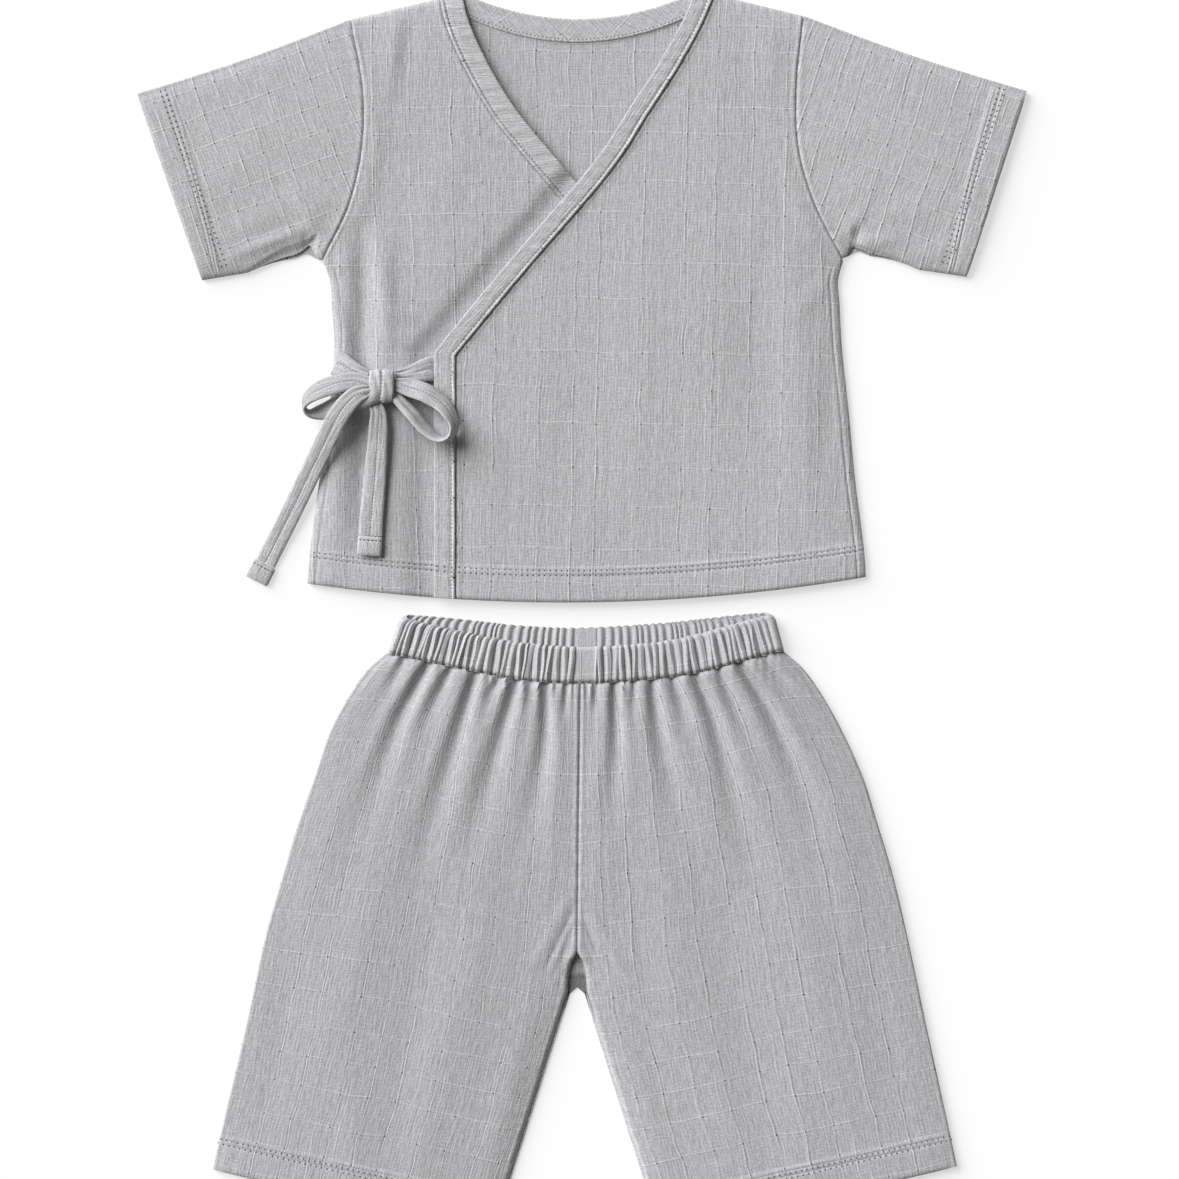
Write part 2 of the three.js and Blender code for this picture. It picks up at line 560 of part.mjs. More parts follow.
// Legs: each is one piece folded down its outer side and sewn to itself along the inseam, and
// to the other leg at the centre front and centre back.
const legSideAt = {
  left: curveOf(legSides, "y", "left"),
  right: curveOf(legSides, "y", "right"),
};
function leg(hand) {
  const outward = hand === "left" ? -1 : 1;
  const { outer, inner } = legHems[hand];
  const legHemY = (x) => lerp(outer[1], inner[1], (x - outer[0]) / (inner[0] - outer[0]));
  const centre = (y) => lerp(waistSeamX, crotch.x, clamp((y + 36) / (crotch.frontY + 36), 0, 1));
  const gapHalf = (y, from, spread, start) => (y > from ? 0 : start + inseamSpread * (from - y) * spread);
  const backInner = (y) => centre(y) + outward * (seam / 2 + gapHalf(y, crotch.backY, 1, 2.4));
  const frontInner = (y) => {
    const parting = 5.2 * saturate(crotch.frontY - y, 6);
    return centre(y) + outward * (seam / 2 + parting + gapHalf(y, crotch.backY, 1, 0) * 0.99);
  };
  const frontWaist = (x) => bandAt.frontLow(clamp(x, bandEnds.left, bandEnds.right));
  const backWaist = (x) => bandLow.back(clamp(x, bandEnds.left, bandEnds.right)) - seam;
  const place = (share, v, edge, waist) => {
    let y = lerp(-30, -290, v);
    for (let i = 0; i < 12; i++) y = lerp(waist(edge(y)), legHemY(edge(y)), v);
    const outerX = (at) => legSideAt[hand](at) - outward * trouserFold;
    let outY = lerp(-22, -280, v);
    for (let i = 0; i < 12; i++) outY = lerp(waist(outerX(outY)), legHemY(outerX(outY)), v);
    const x = lerp(edge(y), outerX(outY), share);
    return new THREE.Vector2(x, lerp(waist(x), legHemY(x), v));
  };
  const alongLeg = [0, 0.02, 0.055, 0.11, 0.18, 0.27, 0.37, 0.47, 0.535, 0.58, 0.66, 0.76, 0.87, 1];
  const acrossFront = steps(legGathers * 4);
  const acrossBack = [1, 0.95, 0.87, 0.74, 0.6, 0.46, 0.32, 0.16, 0];
  const rows = alongLeg.map((v) => {
    const front = acrossFront.map((share) => {
      const p = place(share, v, frontInner, frontWaist);
      const width = Math.abs(place(1, v, frontInner, frontWaist).x - place(0, v, frontInner, frontWaist).x);
      const fromFold = (1 - share) * width;
      const fromInseam = p.y < crotch.frontY ? share * width : Infinity;
      const down = frontWaist(p.x) - p.y;
      const fade = Math.exp(-down / foldFade);
      const fold = foldHeight * Math.sin(2 * Math.PI * legGathers * share) * fade * saturate(fromFold, 6);
      const dome = trouserDome.dome * saturate(Math.min(fromFold, fromInseam), trouserDome.domeOver);
      const foot = flatMid + nextLayer + trouserDome.edge * saturate(fromInseam, trouserDome.edgeOver);
      const lift = (bandFrontMid - flatMid - 2 * trouserFold - dome) * Math.exp(-down / 22);
      return point(p.x, p.y, foot + dome + fold + Math.max(lift, 0) * saturate(fromFold, 5));
    });
    const corner = place(1, v, frontInner, frontWaist);
    const cornerBelow = place(1, v, backInner, backWaist);
    const turn = steps(4).slice(1, -1).map((share) => {
      const angle = Math.PI * (0.5 - share);
      const edge = corner.clone().lerp(cornerBelow, share);
      const rim = edge.x + outward * trouserFold * Math.cos(angle);
      return point(rim, edge.y, flatMid + trouserFold + trouserFold * Math.sin(angle));
    });
    const back = acrossBack.map((share) => {
      const p = place(share, v, backInner, backWaist);
      return point(p.x, p.y, flatMid);
    });
    const section = [...front, ...turn, ...back];
    return hand === "left" ? section : section.reverse();
  });
  clothOf("leg_" + hand, rows);
}
leg("left");
leg("right");

export default set;
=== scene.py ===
"""An infant's wrap top and gathered trousers, laid flat on a white surface, seen from straight above.

Lengths are in millimetres until a mesh is made. X is to the right, Y towards the neck, Z up.
"""

import math

import bpy
import numpy as np
from mathutils.bvhtree import BVHTree
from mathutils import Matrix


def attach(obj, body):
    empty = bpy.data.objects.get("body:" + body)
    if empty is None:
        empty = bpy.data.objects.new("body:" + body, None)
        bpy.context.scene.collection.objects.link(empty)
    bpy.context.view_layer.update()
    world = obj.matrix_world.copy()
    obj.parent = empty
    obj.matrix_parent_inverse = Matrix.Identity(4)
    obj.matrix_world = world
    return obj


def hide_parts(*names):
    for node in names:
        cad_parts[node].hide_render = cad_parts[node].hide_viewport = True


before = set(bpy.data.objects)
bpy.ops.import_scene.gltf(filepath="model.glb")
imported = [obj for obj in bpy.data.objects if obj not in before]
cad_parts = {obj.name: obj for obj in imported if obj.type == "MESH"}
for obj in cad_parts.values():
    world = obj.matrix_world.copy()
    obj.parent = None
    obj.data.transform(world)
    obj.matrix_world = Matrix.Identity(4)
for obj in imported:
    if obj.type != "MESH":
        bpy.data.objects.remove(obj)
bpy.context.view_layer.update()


# Back of the top
# One panel of slub cotton gauze on the straight grain, hemmed below, its neck scooped and bound.
# It lies flat on the surface, and its inside shows in the neck.

MM = 0.001
SHELL = 0.8  # thickness of one layer as it shows
ON_FLOOR = SHELL / 2
LOWEST = 1.8  # middle of a layer that lies on the back
SEAM_GAP = 0.15
NECK_CENTRE = -2.4
UNDERARM = 176.0
WRAP_CORNER = 130.0


def table(names, *rows):
    """A table with named columns."""
    return dict(zip(names.split(), np.array(rows, float).T))


def curve(where, values):
    """A smooth curve through points, straight on beyond its ends."""
    last = len(where) - 1
    count = np.arange(last + 1)
    before, after = np.maximum(count - 1, 0), np.minimum(count + 1, last)
    slope = (values[after] - values[before]) / (where[after] - where[before])

    def at(x):
        x = np.asarray(x, float)
        i = np.clip(np.searchsorted(where, x, side="right") - 1, 0, last - 1)
        step = where[i + 1] - where[i]
        t = np.clip((x - where[i]) / step, 0, 1)
        stay = (1 + 2 * t) * (1 - t) ** 2
        lean = slope[i] * t * (1 - t) ** 2 + slope[i + 1] * t * t * (t - 1)
        beyond = slope[0] * np.minimum(x - where[0], 0) + slope[last] * np.maximum(x - where[last], 0)
        return values[i] * stay + values[i + 1] * (1 - stay) + lean * step + beyond

    return at


def near(distance, width):
    """One at no distance, falling softly to nothing over about a width."""
    return np.exp(-((distance / width) ** 2))


def settle(distance, over):
    """Nothing at an edge, rising softly towards one."""
    return 1 - np.exp(-np.maximum(distance, 0) / over)


def ease(x, start, end):
    """A smooth step from nothing at start to one at end."""
    t = np.clip((x - start) / (end - start), 0, 1)
    return t * t * (3 - 2 * t)


def spread(count, crowd=0.75):
    """Shares from 0 to 1, closer together at both ends."""
    t = np.linspace(0, 1, count)
    return t - crowd * np.sin(2 * np.pi * t) / (2 * np.pi)


side_seams = table(
    "y left right",
    (10, -137.6, 142.3), (31, -136.0, 141.0), (66, -131.3, 136.6), (102, -126.4, 133.2),
    (131, -123.9, 130.1), (155, -125.2, 128.7), (166, -126.1, 128.1), (176, -129.8, 130.6),
)
armholes = table(
    "y left right",
    (176, -129.8, 130.6), (203, -116.5, 116.6), (231, -109.9, 108.3), (262, -109.3, 107.1),
    (297, -116.1, 110.6),
)
sides = {hand: curve(side_seams["y"], side_seams[hand]) for hand in ("left", "right")}
armhole = {hand: curve(armholes["y"], armholes[hand]) for hand in ("left", "right")}
SHOULDERS = {"left": (-115.8, 296.2, 0.235), "right": (110.6, 297.9, -0.245)}


def outer_edge(hand):
    return lambda y: np.where(y < UNDERARM, sides[hand](y), armhole[hand](y))


def shoulder_line(hand):
    x0, y0, slope = SHOULDERS[hand]
    return lambda x: y0 + slope * (np.asarray(x, float) - x0)


def hem_line(x):
    return 5 + ((np.asarray(x, float) + 8) / 42) ** 2


def back_neck_seam(x):
    return 284.75 + ((x - NECK_CENTRE) / 15.5) ** 2


def back_neck_edge(x):
    return 296.8 + ((x - NECK_CENTRE) / 16.1) ** 2


def on_edge(edge, v, top):
    """The points a share v of the way from the hem up to the top line, along an edge."""
    y = 5 + v * 300
    for _ in range(14):
        y = (1 - v) * hem_line(edge(y)) + v * top(edge(y))
    return edge(y)


def panel(left, right, top, u, v):
    """A grid of points over a panel of the top, rows from the hem up and columns to the right."""
    from_x = on_edge(left, v, top) + SEAM_GAP
    to_x = on_edge(right, v, top) - SEAM_GAP
    x = from_x[:, None] * (1 - u) + to_x[:, None] * u
    y = hem_line(x) * (1 - v[:, None]) + top(x) * v[:, None]
    return x, y


def shell(name, middle, weave, thick, material, ring=False, sharp=50):
    """A closed wall of cloth about a grid of middle points. weave is where each point lies on the
    flat cloth, which the material's threads follow. A ring's last column joins its first."""
    rows, columns = middle.shape[:2]
    if ring:
        along = np.roll(middle, -1, 1) - np.roll(middle, 1, 1)
    else:
        along = np.gradient(middle, axis=1)
    normal = np.cross(along, np.gradient(middle, axis=0))
    normal /= np.maximum(np.linalg.norm(normal, axis=2, keepdims=True), 1e-9)
    half = normal * np.broadcast_to(np.asarray(thick, float), (rows, columns))[..., None] / 2
    points = np.concatenate([(middle + half).reshape(-1, 3), (middle - half).reshape(-1, 3)])
    index = np.arange(rows * columns).reshape(rows, columns)
    wide = np.concatenate([index, index[:, :1]], 1) if ring else index
    low = rows * columns

    def quads(a, b, c, d):
        return np.stack([a, b, c, d], -1).reshape(-1, 4)

    a, b, c, d = wide[:-1, :-1], wide[:-1, 1:], wide[1:, 1:], wide[1:, :-1]
    faces = [quads(a, b, c, d), quads(a + low, d + low, c + low, b + low)]
    foot, head = wide[0], wide[-1]
    faces.append(quads(foot[:-1], foot[:-1] + low, foot[1:] + low, foot[1:]))
    faces.append(quads(head[1:], head[1:] + low, head[:-1] + low, head[:-1]))
    if not ring:
        first, final = index[:, 0], index[:, -1]
        faces.append(quads(first[1:], first[1:] + low, first[:-1] + low, first[:-1]))
        faces.append(quads(final[:-1], final[:-1] + low, final[1:] + low, final[1:]))
    faces = np.concatenate(faces)
    mesh = bpy.data.meshes.new(name)
    mesh.from_pydata(points * MM, [], faces.tolist())
    flat = np.tile(weave.reshape(-1, 2), (2, 1)) * MM
    corner = np.empty(len(mesh.loops), np.int64)
    mesh.loops.foreach_get("vertex_index", corner)
    layer = mesh.uv_layers.new(name="weave")
    layer.data.foreach_set("uv", flat[corner].ravel())
    mesh.polygons.foreach_set("use_smooth", np.ones(len(mesh.polygons), bool))
    mesh.set_sharp_from_angle(angle=math.radians(sharp))
    mesh.materials.append(material)
    made = bpy.data.objects.new(name, mesh)
    bpy.context.collection.objects.link(made)
    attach(made, "root")
    return made


def nodes_of(tree):
    """Three short calls: fill a node's inputs, add a filled node, and add one step of arithmetic."""

    def fill(node, values):
        for key, value in values.items():
            if isinstance(value, bpy.types.NodeSocket):
                tree.links.new(value, node.inputs[key])
            elif value is not None:
                node.inputs[key].default_value = value

    def put(kind, *inputs, named=None, **settings):
        made = tree.nodes.new(kind)
        for key, value in settings.items():
            setattr(made, key, value)
        fill(made, {**dict(enumerate(inputs)), **(named or {})})
        return made

    def calc(operation, *inputs):
        return put("ShaderNodeMath", *inputs, operation=operation).outputs[0]

    return fill, put, calc


def cloth(name, tone, seed, wales=1.0, steady=0.15, window=1.0):
    """Slub cotton gauze: a plain weave with thicker, broken threads about every 18 mm across and
    21 mm down times the window's size, small dark gaps where they cross, and a fine crinkle along
    the warp. Wales is how strong its fine ribs are. The steadier it is, the less its thick threads
    fade out."""
    material = bpy.data.materials.new(name)
    material.use_nodes = True
    tree = material.node_tree
    surface = tree.nodes["Principled BSDF"]
    fill, put, calc = nodes_of(tree)

    def noise_at(across, down, shift, detail):
        where = put("ShaderNodeCombineXYZ", across, down, shift)
        made = put("ShaderNodeTexNoise", where.outputs[0], named={"Scale": 1.0, "Detail": detail})
        return made.outputs[0]

    def noise(u_scale, v_scale, shift, detail=2.0):
        across, down = calc("MULTIPLY", u, u_scale), calc("MULTIPLY", v, v_scale)
        return calc("SUBTRACT", noise_at(across, down, float(seed * 7 + shift), detail), 0.5)

    def bump_at(distance, width):
        inside = calc("SUBTRACT", 1.0, calc("POWER", calc("DIVIDE", distance, width), 2.0))
        return calc("POWER", calc("MAXIMUM", inside, 0.0), 1.5)

    def slubs(place, pitch, shift, other):
        """How far a point is from the nearest slub thread, and how much of the thread is there."""
        cell = calc("DIVIDE", place, pitch)
        number = calc("FLOOR", cell)
        own = calc("ADD", number, seed + shift)
        chance = put("ShaderNodeTexWhiteNoise", None, own, noise_dimensions="1D").outputs[0]
        jitter = calc("MULTIPLY", calc("SUBTRACT", chance, 0.5), 0.45)
        share = calc("SUBTRACT", calc("SUBTRACT", calc("FRACT", cell), 0.5), jitter)
        there = noise_at(calc("MULTIPLY", other, 0.035), calc("MULTIPLY", number, 3.7), shift, 3.0)
        kept = put("ShaderNodeMapRange", there, 0.39, 0.61, steady, 1.0)
        return calc("MULTIPLY", share, pitch), kept.outputs[0]

    place = put("ShaderNodeUVMap", uv_map="weave").outputs[0]
    split = put("ShaderNodeSeparateXYZ", place)
    u = calc("MULTIPLY", split.outputs[0], 1000.0)
    v = calc("MULTIPLY", split.outputs[1], 1000.0)
    drift_u = calc("ADD", u, calc("MULTIPLY", noise(0.02, 0.035, 1), 4.5))
    drift_v = calc("ADD", v, calc("MULTIPLY", noise(0.03, 0.02, 2), 4.0))
    warp, warp_there = slubs(drift_u, 17.6 * window, 3.0, v)
    weft, weft_there = slubs(drift_v, 20.6 * window, 5.0, u)
    fine_warp, fine_there = slubs(calc("ADD", drift_u, noise(0.1, 0.05, 9)), 5.3, 8.0, v)
    warp_light = calc("MULTIPLY", bump_at(warp, 0.42), warp_there)
    # Painted shade: a dark line beside one side of each thick warp thread, as if the raised thread cast it.
    warp_painted_shade = calc("MULTIPLY", bump_at(calc("SUBTRACT", warp, 0.7), 0.45), warp_there)
    weft_light = calc("MULTIPLY", bump_at(weft, 0.5), weft_there)
    fine_light = calc("MULTIPLY", bump_at(fine_warp, 0.4), calc("POWER", fine_there, 3.0))
    beside_warp, beside_weft = calc("SUBTRACT", warp, 0.5), calc("ADD", weft, 0.3)
    gaps = calc("MULTIPLY", bump_at(beside_warp, 0.55), bump_at(beside_weft, 0.65))
    ribs = calc("MULTIPLY", noise(1.05, 0.16, 4, 1.0), wales)
    picks = noise(0.26, 1.15, 6, 1.0)
    grain = noise(1.25, 1.0, 11, 0.0)

    def threads(place, pitch, wander, strength):
        turns = calc("ADD", calc("DIVIDE", place, pitch), calc("MULTIPLY", wander, 1.7))
        wave = calc("COSINE", calc("MULTIPLY", turns, 2 * math.pi))
        return calc("MULTIPLY", wave, calc("ADD", calc("MULTIPLY", strength, 2.2), 0.75))

    warp_threads = threads(drift_u, 1.65, noise(0.35, 0.07, 12), noise(0.3, 0.12, 13))
    weft_threads = threads(drift_v, 1.3, noise(0.07, 0.35, 14), noise(0.12, 0.3, 15))
    crinkle = noise(0.22, 0.018, 7, 2.0)
    clouds = noise(0.012, 0.009, 8, 2.0)

    # Each part of the weave: how much lighter it makes the cloth, and how far it stands up in mm.
    parts = (
        (warp_light, 0.34, 0.12), (warp_painted_shade, -0.26, 0), (weft_light, 0.22, 0.09), (fine_light, 0.20, 0.07),
        (gaps, -0.75, -0.12), (ribs, 0.5, 0.18), (picks, 0.22, 0.12), (grain, 0.45, 0),
        (warp_threads, 0.075, 0.02), (weft_threads, 0.05, 0), (crinkle, 0.08, 0.30), (clouds, 0.07, 0),
    )
    shade, height = 1.0, 0.0
    for part, light, tall in parts:
        shade = calc("MULTIPLY_ADD", part, light, shade)
        if tall:
            height = calc("MULTIPLY_ADD", part, tall, height)
    # Painted light and shade, kept in each point's shade attribute, scale the cloth's colour.
    painted_shade_and_light = put("ShaderNodeAttribute", attribute_name="shade").outputs["Fac"]
    shade = calc("MULTIPLY", shade, calc("SUBTRACT", 1.0, painted_shade_and_light))
    colour = put("ShaderNodeCombineColor")
    for channel, socket in zip(tone, colour.inputs):
        tree.links.new(calc("MULTIPLY", shade, channel), socket)
    bump = put("ShaderNodeBump", named={"Strength": 1.0, "Distance": MM, "Height": height})
    fill(surface, {
        "Base Color": colour.outputs[0],
        "Normal": bump.outputs[0],
        "Roughness": calc("ADD", calc("MULTIPLY", ribs, 0.12), 0.9),
        "Sheen Weight": 0.12,
        "Sheen Roughness": 0.5,
        "Specular IOR Level": 0.2,
    })
    return material


def straight_grain(x, y, turn=0.0):
    """Where points lie on the flat cloth when its warp is turned from Y by some degrees."""
    c, s = math.cos(math.radians(turn)), math.sin(math.radians(turn))
    return np.stack([x * c + y * s, -x * s + y * c], -1)


STITCH_APART = 2.4  # from one row of a hem's stitches to the other


def hem_relief(distance, deep):
    """A turned-up hem: a second layer below two rows of stitches that pull it in."""
    doubled = 0.5 * ease(distance, deep + 2.0, deep + 0.8) * ease(distance, -0.5, 1.2)
    rows = near(distance - deep, 0.55) + near(distance - deep + STITCH_APART, 0.55)
    return doubled - 0.36 * rows - 0.45 * near(distance, 0.5)


HEM_DEEP = 15.7
BODY_LONG = 290
hem_stops = [
    0, 0.5, 1.2, 2.2, 4, 6.5, 9, 11, 12.3, 12.8, 13.3, 13.8, 14.5, 15.2, 15.7, 16.2, 16.7, 17.6, 18.6,
]
body_rows = np.concatenate([
    np.array(hem_stops) / BODY_LONG, np.linspace(0.071, 0.985, 150), [0.99, 0.995, 0.998, 1.0],
])


def back_top(x):
    low = np.minimum(shoulder_line("left")(x), shoulder_line("right")(x)) - SEAM_GAP
    return np.minimum(low, back_neck_seam(x) - SEAM_GAP)


body_cloth = cloth("slub_gauze_body", (0.405, 0.405, 0.415), 1)
x, y = panel(outer_edge("left"), outer_edge("right"), back_top, spread(120, 0.6), body_rows)
wave = 0.12 * np.sin(x / 11 + 1.3) * np.sin(y / 17) * settle(back_top(x) - y, 12)
z = ON_FLOOR + 0.1 + wave * 0.5 + 0.5 * hem_relief(y - hem_line(x), HEM_DEEP)
z = np.maximum(z, ON_FLOOR)
top_back = shell("back_panel", np.stack([x, y, z], -1), straight_grain(x, y), SHELL, body_cloth)
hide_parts("top_back")


# Fronts of the top
# Two panels of the same gauze. The under front comes from the left side seam, and the over front
# from the right one; it wraps over it and turns down to the hem. Both are sewn to the back.

front_edges = table(
    "y over under",
    (130, -71.6, -71.6), (176, -33.5, -33.5), (214.7, -0.1, 0.1), (233.6, 14.6, 16.4),
    (252, 26.2, 31.2), (275, 41.1, 45.0), (295.6, 52.6, 54.2), (314, 60.6, 58.6),
)
edge_out = {side: curve(front_edges["y"], front_edges[side]) for side in ("over", "under")}
BAND = {"over": 9.5, "under": 11.3}
WRAP_BAND = 10.8


def free_out(side, y):
    return edge_out[side](np.maximum(y, WRAP_CORNER))


def seam_out(side, y):
    slant = (edge_out[side](y + 1) - edge_out[side](y - 1)) / 2
    sloped = edge_out[side](y) + BAND[side] * np.hypot(1, slant)
    return np.maximum(edge_out[side](WRAP_CORNER) + WRAP_BAND, sloped)


def over_edge(y):
    return NECK_CENTRE + free_out("over", y)


def over_seam(y):
    return NECK_CENTRE + seam_out("over", y)


def under_edge(y):
    return NECK_CENTRE - free_out("under", y)


def under_seam(y):
    return NECK_CENTRE - seam_out("under", y)


def along_line(x, y, x0, y0, x1, y1):
    """How far points lie from a line's stretch, and how far along it, from 0 to 1."""
    run = np.array([x1 - x0, y1 - y0])
    share = np.clip(((x - x0) * run[0] + (y - y0) * run[1]) / (run @ run), 0, 1)
    return np.hypot(x - x0 - share * run[0], y - y0 - share * run[1]), share


def folds(x, y, rows):
    """Soft ridges, or troughs where the height is negative, each along its own line."""
    height = np.zeros_like(x)
    for x0, y0, x1, y1, width, tall in rows:
        distance, share = along_line(x, y, x0, y0, x1, y1)
        height += tall * np.sin(np.pi * np.clip(share, 0.04, 0.96)) ** 0.5 * near(distance, width)
    return height


# Each fold: its line from one end to the other, its width and its height.
top_folds = [
    (-118, 176, -125, 20, 5.5, 1.4), (-109.5, 192, -110, 30, 5, -2.3), (-94, 100, -94, 12, 6, 0.4),
    (-99, 186, -98, 120, 4, 0.9), (-97, 104, -102, 66, 6, -1.4),
    (-113, 190, -100, 250, 6, 0.6), (-104, 185, -88, 120, 7, 0.7), (-122, 168, -112, 128, 3.5, -0.6),
    (-92, 306, -96, 258, 4, 0.7), (-84, 305, -88, 268, 4, -0.4), (-100, 296, -104, 240, 5, 0.4),
    (34, 205, 26, 40, 16, 0.6), (-20, 160, -26, 30, 14, 0.45), (66, 240, 58, 70, 15, 0.5),
    (104, 190, 114, 50, 11, 0.8), (92, 180, 86, 60, 10, -0.3), (120, 178, 96, 236, 6, 0.7),
    (112, 172, 76, 200, 7, 0.35), (126, 170, 108, 150, 5, 0.55), (128, 140, 118, 60, 5, -0.35),
    (92, 300, 96, 262, 7, 0.5), (78, 300, 84, 250, 6, -0.25), (-45, 120, -48, 20, 9, 0.35),
    (-60, 240, -78, 180, 12, 0.5), (-50, 200, -84, 150, 9, 0.4), (0, 60, -6, 8, 11, 0.3),
    (60, 50, 64, 10, 9, 0.3), (100, 44, 104, 12, 8, 0.35), (121.5, 175.5, 128.5, 166.8, 1.1, -0.7),
    (123.5, 171, 130, 162, 2.0, 0.5),
]


def rise(from_edge, inward):
    """Middle of an upper layer: it rises sharply over a turned edge, then softly and slowly."""
    sharp = 0.8 * settle(from_edge, 0.6) + 0.8 * settle(from_edge, 3.2)
    return LOWEST - 0.3 + sharp + 1.2 * settle(inward, 20)


def body_top(x, y):
    """Middle of the upper layer of the body, above the surface."""
    left = x < NECK_CENTRE
    side = np.where(left, sides["left"](y), sides["right"](y))
    beside = np.where(y < UNDERARM, np.abs(x - side), 1e3)
    corner_x = np.where(left, sides["left"](UNDERARM), sides["right"](UNDERARM))
    corner = np.hypot(x - corner_x, y - UNDERARM)
    shoulder = np.where(left, shoulder_line("left")(x), shoulder_line("right")(x)) - y
    distance = np.minimum(np.minimum(beside, corner), shoulder)
    return rise(distance, distance) + folds(x, y, top_folds) * settle(distance, 6)


def seam_relief(distance, along, deep=0.45):
    """A seam at the edge of a panel: it dips, stands up in a soft roll beside it, and puckers."""
    pucker = 0.10 * np.sin(along * 1.05) + 0.07 * np.sin(along * 0.61 + 2)
    roll = 0.2 * near(distance - 1.4, 0.8)
    return -1.5 * deep * near(distance, 0.5) + roll + pucker * np.exp(-distance / 5)


SIDE_SEAM_IN = 4.2


def side_seam_relief(x, y):
    """The side seams show a few millimetres in from the edge, as a fine groove."""
    left = np.abs(x - sides["left"](y) - SIDE_SEAM_IN)
    right = np.abs(sides["right"](y) - SIDE_SEAM_IN - x)
    below = ease(y, UNDERARM + 2, UNDERARM - 10)
    inner = np.minimum(left, right)
    return below * (-0.35 * near(inner, 0.6) + 0.12 * near(inner - 1.2, 0.8))


def hidden(x, y):
    """Where the over front lies on the under front, from 0 to 1."""
    return ease(x, over_edge(y) - 16, over_edge(y) - 4)


def under_height(x, y):
    return np.maximum(body_top(x, y) - hidden(x, y) * 1.8, LOWEST)


def over_height(x, y):
    on_under = under_height(x, y) + 1.4
    apart = ease(x, under_edge(y) - 2, under_edge(y) + 12)
    return np.maximum(body_top(x, y), on_under * (1 - apart) + LOWEST * apart)


def sewn(x, y, seam_x, shoulder):
    """Relief of a front: its hem, side seam, armhole, shoulder and the seam of its binding."""
    hand = np.where(x < NECK_CENTRE, 0, 1)
    hole = np.where(hand == 0, armhole["left"](y), armhole["right"](y))
    at_hole = np.where(y > UNDERARM - 1, np.abs(x - hole) * 0.93, 50)
    relief = hem_relief(y - hem_line(x), HEM_DEEP) + side_seam_relief(x, y)
    relief += seam_relief(at_hole, y) + seam_relief(shoulder(x) - y, x, 0.3)
    return relief + seam_relief(np.abs(x - seam_x(y)) * 0.8, y, 0.35)


left_shoulder, right_shoulder = shoulder_line("left"), shoulder_line("right")
x, y = panel(outer_edge("left"), under_seam, left_shoulder, spread(104, 0.7), body_rows)
z = under_height(x, y) + sewn(x, y, under_seam, left_shoulder)
z = np.maximum(z, 1.25 + 0.25 * settle(x - sides["left"](y), 1))
under_front = shell("under_front", np.stack([x, y, z], -1), straight_grain(x, y, 1.0), SHELL, body_cloth)
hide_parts("top_front_under")

x, y = panel(over_seam, outer_edge("right"), right_shoulder, spread(130, 0.7), body_rows)
z = over_height(x, y) + sewn(x, y, over_seam, right_shoulder)
over_front = shell("over_front", np.stack([x, y, z], -1), straight_grain(x, y, -1.2), SHELL, body_cloth)
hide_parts("top_front_over")


# Edge bindings of the top
# Strips of the same gauze folded double and edge-stitched on: down each front's free edge, where
# the over front's turns straight down to its hem, and round the back of the neck on the bias.

half_band = np.array([0, 0.02, 0.045, 0.07, 0.095, 0.125, 0.16, 0.2, 0.24, 0.36, 0.5])
band_across = np.concatenate([half_band, 1 - half_band[-2::-1]])
band_round = 0.6 + 0.4 * ease(np.minimum(band_across, 1 - band_across), 0, 0.06)
band_rows = np.concatenate([np.linspace(0, 0.41, 80), np.linspace(0.4125, 1, 170)])


BAND_ROW = 1.95  # from a binding's edge to its row of stitches


def band_relief(from_seam, along):
    """A thin roll at the stitched edge, the stitch's groove beside it, and small ripples."""
    ripple = 0.08 * np.sin(along * 0.9) + 0.06 * np.sin(along * 0.47 + 1) + 0.05 * np.sin(along * 1.7)
    return 0.42 * near(from_seam - 0.6, 0.35) - 0.3 * near(from_seam - BAND_ROW, 0.5) + ripple


def length_along(x, y):
    """How far each point lies along its column."""
    step = np.hypot(np.diff(x, axis=0), np.diff(y, axis=0))
    return np.concatenate([np.zeros((1, x.shape[1])), np.cumsum(step, 0)])


def binding(name, node, left, right, top, height, seam_side, turn):
    x, y = panel(left, right, top, band_across, band_rows)
    along = length_along(x, y)
    across = np.hypot(x - x[:, :1], y - y[:, :1])
    from_seam = across if seam_side == "left" else across[:, -1:] - across
    z = height(x, y) + band_relief(from_seam, along)
    weave = np.stack([across, along], -1)
    turned = straight_grain(weave[..., 0], weave[..., 1], turn)
    made = shell(name, np.stack([x, y, z], -1), turned, 1.5 * band_round, binding_cloth, sharp=70)
    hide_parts(node)
    return made


binding_cloth = cloth("slub_gauze_binding", (0.43, 0.43, 0.44), 4, 1.2)
over_band = binding(
    "over_front_binding", "binding_over", over_edge, over_seam, right_shoulder,
    lambda x, y: over_height(x, y) + 0.5, "right", 0,
)
under_band = binding(
    "under_front_binding", "binding_under", under_seam, under_edge, left_shoulder,
    lambda x, y: under_height(x, y) + 0.5 - 0.55 * hidden(x, y), "left", 88,
)

NECK_BAND = 12  # width of the binding at the back of the neck
NECK_ENDS = {"seam": (-72.8, 70.8), "free": (-58.9, 57.3)}
u = spread(120, 0.3)
across = band_across[:, None]
x = (NECK_ENDS["seam"][0] * (1 - u) + NECK_ENDS["seam"][1] * u) * (1 - across)
x = x + (NECK_ENDS["free"][0] * (1 - u) + NECK_ENDS["free"][1] * u) * across
y = (back_neck_seam(x) + 0.3) * (1 - across) + back_neck_edge(x) * across
end = ease(np.minimum(u, 1 - u), 0.0, 0.06)
thick = (0.9 + 0.8 * end) * band_round[:, None]
z = thick / 2 + 0.05 + 0.25 * near(NECK_BAND * across - 0.45, 0.45) * end
weave = straight_grain(x, NECK_BAND * across + 0 * x, 45)
neck_band = shell("back_neck_binding", np.stack([x, y, z], -1), weave, thick, binding_cloth, sharp=70)
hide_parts("binding_neck")


